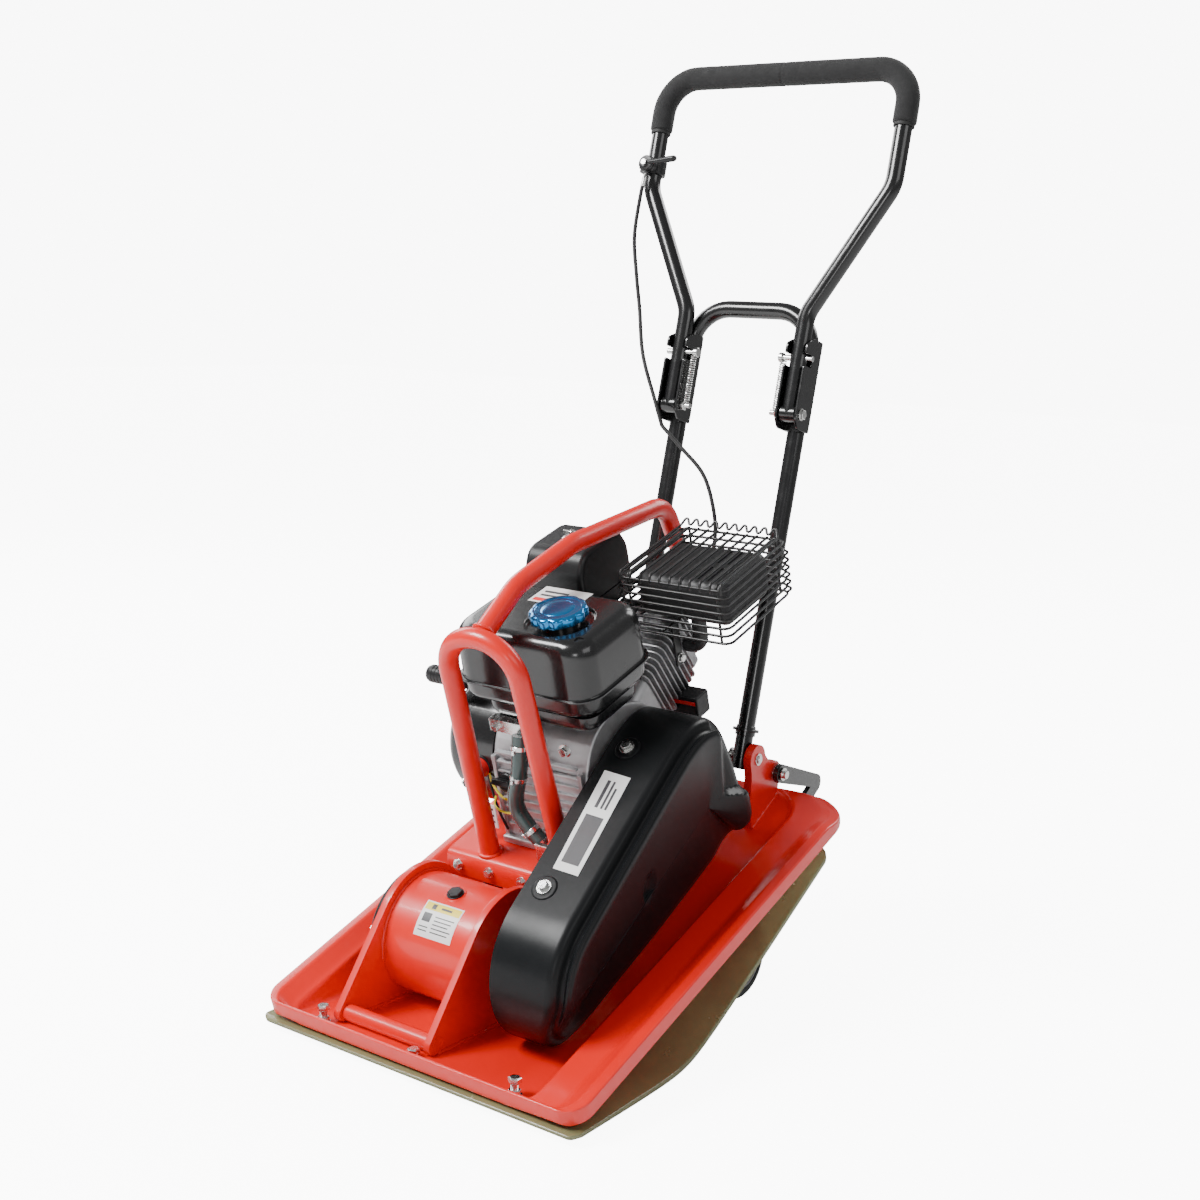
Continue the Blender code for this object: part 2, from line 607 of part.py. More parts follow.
def build_covers():
    bore = (CRANK_Y, CRANK_Z)
    shroud = prism(shroud_outline(1.0), -0.158, -0.1003)
    cut(shroud, prism(shroud_outline(0.955), -0.155, -0.090))
    cut(shroud, rod((-0.17, *bore), (-0.14, *bore), 0.070, 24))
    finish(shroud, "fan_shroud", "black_paint")
    face = [(0.0125, 0.0110), (0.034, 0.0110), (0.035, 0.048), (0.030, 0.071), (0.016, 0.0845), (0.0, 0.0845),
            (0.0, 0.088), (0.018, 0.088), (0.033, 0.074), (0.039, 0.050), (0.040, 0.020)]
    shell = turned((-0.158 - GAP, *bore), (-1, 0, 0), face, 20)
    for k in range(4):
        a = math.radians(90 * k + 45)
        spot = Vector((-0.21, CRANK_Y + 0.056 * math.cos(a), CRANK_Z + 0.056 * math.sin(a)))
        cut(shell, rod(spot, spot + Vector((0.04, 0, 0)), 0.009, 8))
    neck = [(-0.1785, 0.3880, 0.235), (-0.1785, GRIP_SPOT[0], GRIP_SPOT[1] - 0.0125 - GAP)]
    fuse(shell, rod(*neck, 0.0085, 12))
    cut(shell, rod((-0.1785, 0.3885, 0.190), (-0.1785, GRIP_SPOT[0], GRIP_SPOT[1]), 0.0045, 8))
    finish(shell, "recoil_cover", "black_paint")
    grip = turned((-0.2155, *GRIP_SPOT), (1, 0, 0), [(0.0, 0.0085), (0.005, 0.0125), (0.068, 0.0125),
                                                     (0.073, 0.0085)], 14)
    finish(grip, "recoil_grip", "black_plastic", (-0.179, *GRIP_SPOT))
    knob = turned((-0.122, 0.3505, 0.187), (0, -1, 0), [(0.0, 0.0125), (0.010, 0.0125), (0.014, 0.009)], 16)
    finish(knob, "stop_switch", "red_plastic", (-0.122, 0.3505, 0.187))


GRIP_SPOT = (0.385, 0.297)
TANK_X, TANK_Y = (-0.140, 0.088), (0.343, 0.505)
TANK_SUMP, TANK_SUMP_DEPTH = ((-0.094, 0.078), (0.353, 0.470)), 0.016
CAP_SPOT = (0.007, 0.412)


def rounded_rectangle(z, inset, corner, steps=4):
    """The tank's outline at one height."""
    (x0, x1), (y0, y1) = TANK_X, TANK_Y
    x0, x1, y0, y1 = x0 + inset + corner, x1 - inset - corner, y0 + inset + corner, y1 - inset - corner
    ring = []
    for k, (x, y) in enumerate(((x1, y1), (x0, y1), (x0, y0), (x1, y0))):
        for i in range(steps + 1):
            a = math.radians(90 * k + 90 * i / steps)
            ring.append(Vector((x + corner * math.cos(a), y + corner * math.sin(a), z)))
    return ring


def build_tank():
    seam = TANK_LOW + 0.032
    layers = ((TANK_LOW, 0.020, 0.030), (TANK_LOW + 0.006, 0.009, 0.034), (TANK_LOW + 0.016, 0.005, 0.034),
              (seam, 0.005, 0.034), (seam, 0.0, 0.036), (seam + 0.006, 0.0, 0.036), (seam + 0.006, 0.003, 0.034),
              (TANK_HIGH - 0.020, 0.004, 0.034), (TANK_HIGH - 0.006, 0.009, 0.030), (TANK_HIGH, 0.020, 0.022))
    tank = skin([rounded_rectangle(z, inset, corner) for z, inset, corner in layers])
    cut(tank, rod((*CAP_SPOT, TANK_HIGH - 0.006), (*CAP_SPOT, TANK_HIGH + 0.01), 0.046, 28))
    fuse(tank, rod((*CAP_SPOT, TANK_HIGH - 0.010), (*CAP_SPOT, TANK_HIGH + 0.003), 0.026, 20))
    (x0, x1), (y0, y1) = TANK_SUMP
    low = TANK_LOW - TANK_SUMP_DEPTH
    sump = []
    for z, inset in ((low, 0.010), (low + 0.008, 0.0), (TANK_LOW + 0.012, 0.0)):
        corners = ((x0 + inset, y0 + inset), (x1 - inset, y0 + inset), (x1 - inset, y1), (x0 + inset, y1))
        sump.append([Vector((x, y, z)) for x, y in corners])
    fuse(tank, skin(sump))
    finish(tank, "fuel_tank", "tank_paint")
    rings = []
    lobes = 12
    for z, scale in ((0.0, 0.93), (0.003, 1.0), (0.011, 1.0), (0.0145, 0.90)):
        ring = []
        for i in range(36):
            a = 2 * math.pi * i / 36
            r = (0.0375 + 0.0015 * math.cos(lobes * a)) * scale
            ring.append(Vector((CAP_SPOT[0] + r * math.cos(a), CAP_SPOT[1] + r * math.sin(a), TANK_HIGH + 0.0035 + z)))
        rings.append(ring)
    finish(skin(rings), "fuel_cap", "blue_cap", (*CAP_SPOT, TANK_HIGH + 0.0035))


def build_intake_and_exhaust():
    side = [(0.545, 0.318), (0.657, 0.318), (0.662, 0.324), (0.662, 0.396), (0.650, 0.415), (0.640, 0.420),
            (0.562, 0.420), (0.552, 0.415), (0.540, 0.396), (0.540, 0.324)]
    middle = Vector((0.601, 0.369))
    rings = []
    for x, scale in ((-0.150, 0.93), (-0.146, 1.0), (-0.056, 1.0), (-0.052, 0.93)):
        rings.append([Vector((x, *(middle + (Vector(p) - middle) * scale))) for p in side])
    filter_box = skin(rings)
    knob = turned((-0.101, 0.600, 0.4195), (0, 0, 1), [(0.0, 0.014), (0.003, 0.014), (0.003, 0.005), (0.012, 0.005)], 14)
    finish(fuse(filter_box, knob), "air_filter_box", "black_plastic")
    carb = box((-0.125, 0.597, 0.236), (-0.080, 0.655, 0.3175))
    fuse(carb, rod((-0.102, 0.627, 0.206), (-0.102, 0.627, 0.240), 0.022, 14))
    fuse(carb, box((-0.085, 0.613, 0.256), (-0.0645, 0.635, 0.286)))
    finish(carb, "carburettor", "cast_aluminium")
    for name, z, colour in (("choke_lever", 0.302, "black_plastic"), ("fuel_lever", 0.250, "red_plastic")):
        pivot = Vector((-0.1255, 0.622, z))
        lever = turned(pivot, (-1, 0, 0), [(0.0, 0.007), (0.005, 0.007)], 12)
        fuse(lever, box((-0.1303, 0.622, z - 0.0035), (-0.1265, 0.662, z + 0.0035)))
        finish(lever, name, colour, pivot)
    rings = []
    for x, inset in ((0.012, 0.010), (0.020, 0.0), (0.142, 0.0), (0.150, 0.010)):
        y0, y1, z0, z1 = 0.578 + inset, 0.700 - inset, 0.326 + inset, 0.388 - inset
        soft = 0.012
        corners = [(y0 + soft, z0), (y1 - soft, z0), (y1, z0 + soft), (y1, z1 - soft), (y1 - soft, z1),
                   (y0 + soft, z1), (y0, z1 - soft), (y0, z0 + soft)]
        rings.append([Vector((x, y, z)) for y, z in corners])
    muffler = skin(rings)
    pipe = fillet([(0.076, 0.622, 0.345), (0.076, 0.622, 0.268), (0.0505, 0.622, 0.268)], 0.016, 3)
    fuse(muffler, tube(pipe, 0.0105, 12))
    finish(muffler, "muffler", "black_paint")
    plug = turned(along_cylinder(0.2365, 0.0, 0.0), along_cylinder(1.0) - along_cylinder(0.0),
                  [(0.0, 0.008), (0.010, 0.008), (0.010, 0.011), (0.030, 0.011), (0.033, 0.008)], 12)
    finish(plug, "spark_plug_cap", "rubber")


GUARD = ((-0.004, 0.556, 0.3135), (0.166, 0.727, 0.404))


def build_guard():
    """The muffler guard: a five-sided cage of bars, open below."""
    bar = 0.0040
    (x0, y0, z0), (x1, y1, z1) = GUARD
    cage = box(*GUARD)
    tools = [box((x0 + bar, y0 + bar, z0 - 0.01), (x1 - bar, y1 - bar, z1 - bar))]
    cut(cage, *tools)
    count = 7
    pitch = (x1 - x0 - bar) / count
    slots = []
    for i in range(count):
        left = x0 + bar + i * pitch
        slots.append(box((left, y0 + bar, z1 - 0.02), (left + pitch - bar, y1 - bar, z1 + 0.01)))
    rows = 3
    rise = (z1 - z0 - 2 * bar) / rows
    for i in range(rows):
        low = z0 + bar + i * rise
        high = low + rise - bar
        slots.append(box((x0 + bar, y0 - 0.01, low), (x1 - bar, y1 + 0.01, high)))
        slots.append(box((x0 - 0.01, y0 + bar, low), (x1 + 0.01, y1 - bar, high)))
    for tool in slots:
        cut(cage, tool)
    for x in (0.012, 0.150):
        fuse(cage, box((x - 0.004, y0 + 0.0005, z1 - 0.0035), (x + 0.004, y1 - 0.0005, z1 - 0.0005)))
        for y in (y0, y1 - bar):
            fuse(cage, box((x - 0.004, y + 0.0005, z0 + 0.001), (x + 0.004, y + bar - 0.0005, z1 - 0.001)))
    foot = box((0.0545, 0.585, 0.250), (0.0575, 0.600, 0.3160))
    fuse(cage, foot, box((0.0545, 0.5575, 0.3140), (0.0575, 0.7260, 0.3170)))
    finish(cage, "muffler_guard", "wire_paint")


# ---- handles ------------------------------------------------------------------------------------------
HANDLE_REACH = {"hoop": 0.645, "low_kink": 0.635, "high_kink": 0.820, "grip": 0.908, "bar": 0.988}
LATCH_T = 0.572
LUG_X = (0.1155, 0.1275)


def upper_path():
    r = HANDLE_REACH
    half = [(HANDLE_X, FOLD_T), (HANDLE_X, r["low_kink"]), (GRIP_X, r["high_kink"]), (GRIP_X, r["bar"])]
    points = [on_handle(t, FOLD_N, -x) for x, t in half]
    points += [on_handle(t, FOLD_N, x) for x, t in half[::-1]]
    return points


def build_lower_handle():
    points = [on_handle(t, 0.0, x) for x, t in ((-HANDLE_X, -0.018), (-HANDLE_X, HANDLE_REACH["hoop"]),
                                                (HANDLE_X, HANDLE_REACH["hoop"]), (HANDLE_X, -0.018))]
    handle = tube(fillet(points, 0.058, 5), TUBE_RADIUS, 10)
    for side in (-1, 1):
        plate = [on_handle(t, n) for t, n in ((0.470, -0.004), (0.470, 0.030), (0.484, 0.041), (0.560, 0.041),
                                              (0.560, 0.020), (0.5775, 0.020), (0.5775, 0.041),
                                              (0.592, 0.041), (0.602, 0.020), (0.602, -0.004))]
        edges = sorted((side * (HANDLE_X - 0.0175), side * (HANDLE_X + 0.0175)))
        bracket = prism([(p.y, p.z) for p in plate], *edges)
        channel = [on_handle(t, n) for t, n in ((0.460, 0.0132), (0.460, 0.060), (0.612, 0.060), (0.612, 0.0132))]
        edges = sorted((side * (HANDLE_X - 0.0140), side * (HANDLE_X + 0.0140)))
        cut(bracket, prism([(p.y, p.z) for p in channel], *edges))
        fuse(handle, bracket)
        ends = [on_handle(FOLD_T, FOLD_N, side * (HANDLE_X - 0.03)), on_handle(FOLD_T, FOLD_N, side * (HANDLE_X + 0.03))]
        cut(handle, rod(*ends, 0.0044, 12))
        collar = turned(on_handle(0.030, 0.0, side * HANDLE_X), HANDLE_UP, [(0.0, 0.0145), (0.006, 0.0145), (0.006, 0.019),
                                                                            (0.010, 0.019), (0.010, 0.0140),
                                                                            (0.014, 0.0140)], 12)
        fuse(handle, collar)
        foot = Vector((side * HANDLE_X, *HANDLE_FOOT))
        reach = Vector((0.03, 0.0, 0.0))
        cut(handle, rod(foot - reach, foot + reach, 0.0068, 12))
    finish(handle, "lower_handle", "black_paint", (0.0, *HANDLE_FOOT))


def build_upper_handle():
    path = fillet(upper_path(), [0.05, 0.055, 0.052, 0.052, 0.055, 0.05], 3)
    handle = tube(path, TUBE_RADIUS, 10)
    for side in (-1, 1):
        pivot = on_handle(FOLD_T, FOLD_N, side * HANDLE_X)
        reach = Vector((0.03, 0.0, 0.0))
        end = rod(pivot - Vector((0.0123, 0, 0)), pivot + Vector((0.0123, 0, 0)), TUBE_RADIUS, 16)
        fuse(handle, end)
        cut(handle, rod(pivot - reach, pivot + reach, 0.0045, 12))
        pin = [on_handle(LATCH_T, FOLD_N, side * (HANDLE_X - 0.031)), on_handle(LATCH_T, FOLD_N, side * (HANDLE_X + 0.022))]
        fuse(handle, rod(*pin, 0.0042, 12))
        tag = "left" if side < 0 else "right"
        bolt_x = HANDLE_X + 0.0178
        profile = [(-0.0055, 0.0075), (0.0, 0.0075), (0.0, 0.0040), (0.050, 0.0040), (0.050, 0.0046), (0.0505, 0.0046)]
        head = on_handle(FOLD_T, FOLD_N, side * bolt_x)
        finish(turned(head, (-side, 0, 0), profile, 12), "fold_bolt_" + tag, "zinc")
        ends = [on_handle(FOLD_T + 0.0062, FOLD_N, side * (HANDLE_X - 0.0245)),
                on_handle(LATCH_T - 0.0048, FOLD_N, side * (HANDLE_X - 0.0245))]
        finish(rod(*ends, 0.0052, 12), "handle_spring_" + tag, "zinc")
    finish(handle, "upper_handle", "black_paint", FOLD_AXIS)
    grip = [p for p in path if (p - on_handle(0.0, FOLD_N, p.x)).dot(HANDLE_UP) > HANDLE_REACH["grip"]]
    ends = [on_handle(HANDLE_REACH["grip"], FOLD_N, -GRIP_X), on_handle(HANDLE_REACH["grip"], FOLD_N, GRIP_X)]
    finish(sleeve([ends[0]] + grip + [ends[1]], 0.0170, TUBE_RADIUS + 0.0006, 10), "foam_grip", "foam")


def lug_outline(low):
    outline = [(0.612, low(0.612)), (0.612, 0.020), (0.628, 0.060)]
    for k in range(9):
        a = math.radians(190 - 25 * k)
        outline.append((HANDLE_FOOT[0] + 0.021 * math.cos(a), HANDLE_FOOT[1] + 0.021 * math.sin(a)))
    outline += [(0.682, 0.056), (0.702, 0.050)]
    outline += [(0.708, 0.035), (0.700, 0.018), (0.690, low(0.690))]
    return outline


def build_lugs():
    def low(y):
        return deck(y) + 0.0012

    for tag, side in (("left", -1), ("right", 1)):
        edges = sorted((side * LUG_X[0], side * LUG_X[1]))
        lug = prism(lug_outline(low), *edges)
        foot = Vector((0.0, *HANDLE_FOOT))
        fuse(lug, rod(foot + Vector((side * 0.0835, 0, 0)), foot + Vector((side * 0.120, 0, 0)), 0.0064, 12))
        fuse(lug, rod(foot + Vector((side * 0.120, 0, 0)), foot + Vector((side * 0.1312, 0, 0)), 0.0075, 12))
        pivot = Vector((0.0, *KIT_PIVOT))
        fuse(lug, rod(pivot + Vector((side * 0.120, 0, 0)), pivot + Vector((side * 0.148, 0, 0)), 0.0062, 12))
        finish(lug, "handle_lug_" + tag, "red_paint")


# ---- throttle -------------------------------------------------------------------------------------------
CLAMP_T = 0.851


def build_throttle():
    centre = on_handle(CLAMP_T - 0.011, FOLD_N, -GRIP_X)
    ring = [(0.0, TUBE_RADIUS + 0.0006), (0.022, TUBE_RADIUS + 0.0006), (0.022, 0.0175), (0.0, 0.0175)]
    clamp = hollow_turned(centre, HANDLE_UP, ring, 16)
    seat = on_handle(CLAMP_T, FOLD_N + 0.0155, -GRIP_X)
    fuse(clamp, turned(seat, HANDLE_FRONT, [(0.0, 0.0125), (0.0075, 0.0125)], 16))
    finish(clamp, "throttle_clamp", "black_plastic")
    pivot = seat + HANDLE_FRONT * 0.0078
    lever = turned(pivot, HANDLE_FRONT, [(0.0, 0.0120), (0.005, 0.0120), (0.008, 0.006)], 16)
    root = pivot + HANDLE_FRONT * 0.0052
    arm = rod(root, root + Vector((0.054, 0, 0)) + HANDLE_UP * 0.006, 0.0045, 10)
    finish(fuse(lever, arm), "throttle_lever", "black_plastic", pivot)


# Where the throttle cable runs, as (x, along the handle, in front of it), then as (x, y, z).
CABLE_UPPER = ((-0.201, 0.8280, 0.0500), (-0.203, 0.800, 0.0500), (-0.204, 0.740, 0.046), (-0.190, 0.680, 0.043),
               (-0.176, 0.631, 0.041), (-0.150, 0.560, 0.050), (-0.112, 0.492, 0.055))
CABLE_LOWER = ((-0.0945, 0.8420, 0.4965), (-0.060, 0.832, 0.470), (-0.018, 0.818, 0.438), (0.006, 0.798, 0.400),
               (0.016, 0.780, 0.360), (0.012, 0.760, 0.315), (-0.004, 0.738, 0.270), (-0.026, 0.708, 0.240),
               (-0.050, 0.690, 0.238), (-0.072, 0.675, 0.252), (-0.092, 0.660, 0.262))
CABLE_RADIUS = 0.0030


def smooth_route(points, count):
    """Points on a smooth curve through the given ones."""
    points = [Vector(p) for p in points]
    padded = [points[0] * 2 - points[1]] + points + [points[-1] * 2 - points[-2]]
    dense = []
    for a, b, c, d in zip(padded, padded[1:], padded[2:], padded[3:]):
        for k in range(12):
            t = k / 12
            dense.append(0.5 * (2 * b + (c - a) * t + (2 * a - 5 * b + 4 * c - d) * t ** 2
                                + (3 * b - a - 3 * c + d) * t ** 3))
    dense.append(points[-1])
    steps = [(q - p).length for p, q in zip(dense, dense[1:])]
    total = sum(steps)
    route = [dense[0]]
    walked, i = 0.0, 0
    for k in range(1, count):
        goal = total * k / (count - 1)
        while i < len(steps) - 1 and walked + steps[i] < goal:
            walked += steps[i]
            i += 1
        route.append(dense[i].lerp(dense[i + 1], min(1.0, (goal - walked) / steps[i])))
    return route


def build_cable(name, points, count):
    curve = bpy.data.curves.new(name, "CURVE")
    curve.dimensions = "3D"
    curve.bevel_depth = CABLE_RADIUS
    curve.bevel_resolution = 2
    curve.use_fill_caps = True
    route = smooth_route(points, count)
    spline = curve.splines.new("POLY")
    spline.points.add(len(route) - 1)
    for point, place in zip(spline.points, route):
        point.co = (*place, 1.0)
    cable = add_object(name, curve)
    curve.materials.append(material("rubber"))
    cable.parent = MACHINE


# ---- wheel kit ---------------------------------------------------------------------------------------------
def build_wheels():
    axle = Vector((0.0, WHEEL_Y, WHEEL_Z))
    frame = rod(axle + Vector((-0.204, 0, 0)), axle + Vector((0.204, 0, 0)), 0.0080, 14)
    brace = Vector((0.0, 0.520, WHEEL_Z + (0.520 - WHEEL_Y) * 0.257))
    fuse(frame, rod(brace + Vector((-0.1355, 0, 0)), brace + Vector((0.1355, 0, 0)), 0.0070, 12))
    elbow = Vector((0.785, -0.037))
    start, end = Vector(KIT_PIVOT), Vector((WHEEL_Y, WHEEL_Z))
    wide = 0.0140
    outline = []
    for k in range(7):
        a = math.radians(225 - 30 * k)
        outline.append((start.x + wide * math.cos(a), start.y + wide * math.sin(a)))
    for a in (55, 10, -40, -75):
        outline.append((elbow.x + wide * math.cos(math.radians(a)), elbow.y + wide * math.sin(math.radians(a))))
    for k in range(6):
        a = math.radians(285 - 36 * k)
        outline.append((end.x + wide * math.cos(a), end.y + wide * math.sin(a)))
    outline.append((elbow.x - 0.020, elbow.y + 0.005))
    for side in (-1, 1):
        edges = sorted((side * (ARM_X - 0.004), side * (ARM_X + 0.004)))
        arm = prism(outline, *edges)
        fuse(frame, arm)
        hole = Vector((side * ARM_X, *KIT_PIVOT))
        cut(frame, rod(hole - Vector((0.02, 0, 0)), hole + Vector((0.02, 0, 0)), 0.0067, 12))
        cap = axle + Vector((side * 0.1985, 0, 0))
        fuse(frame, turned(cap, (side, 0, 0), [(0.0, 0.0125), (0.004, 0.0125), (0.0065, 0.009)], 14))
        profile = [(-0.020, 0.0084), (0.020, 0.0084), (0.020, 0.020), (0.013, 0.024), (0.013, 0.040), (0.020, 0.044),
                   (0.013, WHEEL_RADIUS), (-0.013, WHEEL_RADIUS), (-0.020, 0.044), (-0.013, 0.040), (-0.013, 0.024),
                   (-0.020, 0.020)]
        centre = axle + Vector((side * 0.1735, 0, 0))
        tag = "left" if side < 0 else "right"
        finish(hollow_turned(centre, (side, 0, 0), profile, 24), "wheel_" + tag, "rubber", centre)
    finish(frame, "wheel_frame", "black_paint", (0.0, *KIT_PIVOT))


build_base()
build_exciter()
build_belt()
build_cover()
build_bed()
build_lifting_frame()
build_engine()
build_covers()
build_tank()
build_intake_and_exhaust()
build_guard()
build_lower_handle()
build_upper_handle()
build_lugs()
build_throttle()
build_cable("throttle_cable_upper", [on_handle(t, n, x) for x, t, n in CABLE_UPPER], 22)
build_cable("throttle_cable_lower", CABLE_LOWER, 26)
build_wheels()


def stand_on_floor():
    """Put the parked machine's lowest point on z = 0 and the middle of its length over the origin."""
    bpy.context.view_layer.update()
    spots = []
    for piece in bpy.context.scene.objects:
        if piece.type == "MESH":
            spots += [piece.matrix_world @ corner.co for corner in piece.data.vertices]
    MACHINE.location.y = -(min(p.y for p in spots) + max(p.y for p in spots)) / 2
    MACHINE.location.z = -min(p.z for p in spots)
    bpy.context.view_layer.update()


stand_on_floor()
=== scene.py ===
import json
import math
import bpy
import bmesh
from mathutils import Matrix, Vector, noise

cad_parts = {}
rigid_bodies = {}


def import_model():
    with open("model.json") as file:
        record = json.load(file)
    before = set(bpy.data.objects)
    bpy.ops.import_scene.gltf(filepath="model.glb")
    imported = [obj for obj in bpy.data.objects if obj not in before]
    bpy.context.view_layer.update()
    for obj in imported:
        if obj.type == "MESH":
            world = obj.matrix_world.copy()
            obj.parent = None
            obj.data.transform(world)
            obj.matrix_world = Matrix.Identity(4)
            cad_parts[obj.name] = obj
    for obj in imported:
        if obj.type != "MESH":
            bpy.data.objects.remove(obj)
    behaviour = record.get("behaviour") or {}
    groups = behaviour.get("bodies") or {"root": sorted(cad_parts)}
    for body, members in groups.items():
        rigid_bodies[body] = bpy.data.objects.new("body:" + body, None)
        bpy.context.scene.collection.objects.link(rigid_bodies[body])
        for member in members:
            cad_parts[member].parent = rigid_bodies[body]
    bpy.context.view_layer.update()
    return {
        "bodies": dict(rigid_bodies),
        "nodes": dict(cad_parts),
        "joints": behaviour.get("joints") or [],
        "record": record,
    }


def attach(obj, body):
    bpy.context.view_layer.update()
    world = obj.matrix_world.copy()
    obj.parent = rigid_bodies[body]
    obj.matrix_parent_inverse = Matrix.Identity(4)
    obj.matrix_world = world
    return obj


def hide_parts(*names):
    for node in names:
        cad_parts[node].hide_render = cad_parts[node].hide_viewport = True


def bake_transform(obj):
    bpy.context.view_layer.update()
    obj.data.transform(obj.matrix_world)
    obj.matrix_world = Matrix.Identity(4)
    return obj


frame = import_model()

TILT = math.radians(18.0)
CRANK = Vector((0.0, 0.445, 0.181))
EXCITER = Vector((0.0, 0.200, 0.017))


def joint_place(name):
    return Vector(next(j["pos_m"] for j in frame["joints"] if j["name"] == name))


X_AXIS, Y_AXIS, Z_AXIS = Vector((1, 0, 0)), Vector((0, 1, 0)), Vector((0, 0, 1))
TURN = Matrix.Rotation(TILT, 4, "X")
MACHINE = Matrix.Translation(joint_place("crank_spin") - TURN @ CRANK) @ TURN

# ---- camera --------------------------------------------------------------------------------------
YAW, PITCH, ROLL = math.radians(38.02), math.radians(24.94), math.radians(8.96)
EYE = Vector((1.203, -1.029, 1.289))


def build_camera():
    forward = Vector((-math.sin(YAW) * math.cos(PITCH), math.cos(YAW) * math.cos(PITCH), -math.sin(PITCH)))
    level = Vector((math.cos(YAW), math.sin(YAW), 0.0))
    down = forward.cross(level)
    c, s = math.cos(ROLL), math.sin(ROLL)
    right, below = c * level + s * down, c * down - s * level
    turn = Matrix((right, -below, -forward)).transposed().to_4x4()
    data = bpy.data.cameras.new("camera")
    data.lens = 48.71
    data.sensor_width = 36.0
    camera = bpy.data.objects.new("camera", data)
    camera.matrix_world = MACHINE @ Matrix.Translation(EYE) @ turn
    bpy.context.scene.collection.objects.link(camera)
    bpy.context.scene.camera = camera


for default in [o for o in bpy.context.scene.objects if o.name in ("Cube", "Light", "Camera")]:
    bpy.data.objects.remove(default, do_unlink=True)
build_camera()

# ---- shape helpers ------------------------------------------------------------------------------


def new_object(name, mesh):
    made = bpy.data.objects.new(name, mesh)
    bpy.context.scene.collection.objects.link(made)
    return made


def from_bmesh(shape, name="piece"):
    mesh = bpy.data.meshes.new(name)
    shape.to_mesh(mesh)
    shape.free()
    return new_object(name, mesh)


def skin(rings, closed=False, caps=True):
    shape = bmesh.new()
    rows = [[shape.verts.new(p) for p in ring] for ring in rings]
    pairs = list(zip(rows, rows[1:]))
    if closed:
        pairs.append((rows[-1], rows[0]))
    for low, high in pairs:
        n = len(low)
        for i in range(n):
            shape.faces.new((low[i], low[(i + 1) % n], high[(i + 1) % n], high[i]))
    if caps and not closed:
        shape.faces.new(rows[0][::-1])
        shape.faces.new(rows[-1])
    bmesh.ops.recalc_face_normals(shape, faces=shape.faces)
    return from_bmesh(shape)


def basis(direction):
    direction = Vector(direction).normalized()
    side = X_AXIS if abs(direction.x) < 0.9 else Y_AXIS
    first = direction.cross(side).normalized()
    return direction, first, direction.cross(first).normalized()


def circle(centre, first, second, radius, count, turn=0.0):
    ring = []
    for i in range(count):
        a = 2 * math.pi * i / count + turn
        ring.append(Vector(centre) + radius * (math.cos(a) * first + math.sin(a) * second))
    return ring


def lathe(start, direction, profile, count=40, turn=0.0):
    """Solid of revolution from (distance, radius) pairs."""
    direction, first, second = basis(direction)
    start = Vector(start)
    return skin([circle(start + h * direction, first, second, max(r, 0.00005), count, turn)
                 for h, r in profile])


def hollow(start, direction, profile, count=40):
    """Solid of revolution from a closed loop of (distance, radius) pairs off the axis."""
    direction, first, second = basis(direction)
    start = Vector(start)
    rings = []
    for i in range(count):
        a = 2 * math.pi * i / count
        out = math.cos(a) * first + math.sin(a) * second
        rings.append([start + h * direction + r * out for h, r in profile])
    return skin(rings, closed=True)


def rod(a, b, radius, count=24, soft=0.0):
    a, b = Vector(a), Vector(b)
    length = (b - a).length
    if soft:
        profile = [(0, radius - soft), (soft * 0.3, radius - soft * 0.3), (soft, radius),
                   (length - soft, radius), (length - soft * 0.3, radius - soft * 0.3),
                   (length, radius - soft)]
    else:
        profile = [(0, radius), (length, radius)]
    return lathe(a, b - a, profile, count)


def bevelled(obj, width, segments=3, angle=30.0):
    step = obj.modifiers.new("bevel", "BEVEL")
    step.width = width
    step.segments = segments
    step.limit_method = "ANGLE"
    step.angle_limit = math.radians(angle)
    return baked(obj)


def baked(obj):
    bpy.context.view_layer.update()
    seen = obj.evaluated_get(bpy.context.evaluated_depsgraph_get())
    mesh = bpy.data.meshes.new_from_object(seen)
    obj.modifiers.clear()
    obj.data = mesh
    return obj


def box(low, high, soft=0.0, segments=3):
    (x0, y0, z0), (x1, y1, z1) = low, high
    base = [(x0, y0), (x1, y0), (x1, y1), (x0, y1)]
    made = skin([[Vector((x, y, z)) for x, y in base] for z in (z0, z1)])
    return bevelled(made, soft, segments) if soft else made


def oriented_box(centre, axes, half, soft=0.0, segments=3):
    """A box whose three unit axes are given."""
    made = box((-half[0], -half[1], -half[2]), half, soft, segments)
    turn = Matrix([list(a) for a in axes]).transposed().to_4x4()
    made.data.transform(Matrix.Translation(Vector(centre)) @ turn)
    return made


def prism(outline, x0, x1, soft=0.0, segments=3):
    made = skin([[Vector((x, y, z)) for y, z in outline] for x in (x0, x1)])
    return bevelled(made, soft, segments) if soft else made


def slab(outline, z0, z1, soft=0.0, segments=3):
    """A flat plate whose outline is given as (x, y)."""
    made = skin([[Vector((x, y, z)) for x, y in outline] for z in (z0, z1)])
    return bevelled(made, soft, segments) if soft else made


def fillet(points, radius, steps=10):
    points = [Vector(p) for p in points]
    radii = radius if isinstance(radius, (list, tuple)) else [radius] * (len(points) - 2)
    path = [points[0]]
    for before, corner, after, r in zip(points, points[1:], points[2:], radii):
        one, two = (before - corner).normalized(), (after - corner).normalized()
        half = one.angle(two) / 2
        reach = r / math.tan(half)
        centre = corner + (one + two).normalized() * (r / math.sin(half))
        start, end = corner + one * reach - centre, corner + two * reach - centre
        sweep, normal = start.angle(end), start.cross(end).normalized()
        for k in range(steps + 1):
            path.append(centre + Matrix.Rotation(sweep * k / steps, 3, normal) @ start)
    path.append(points[-1])
    return path


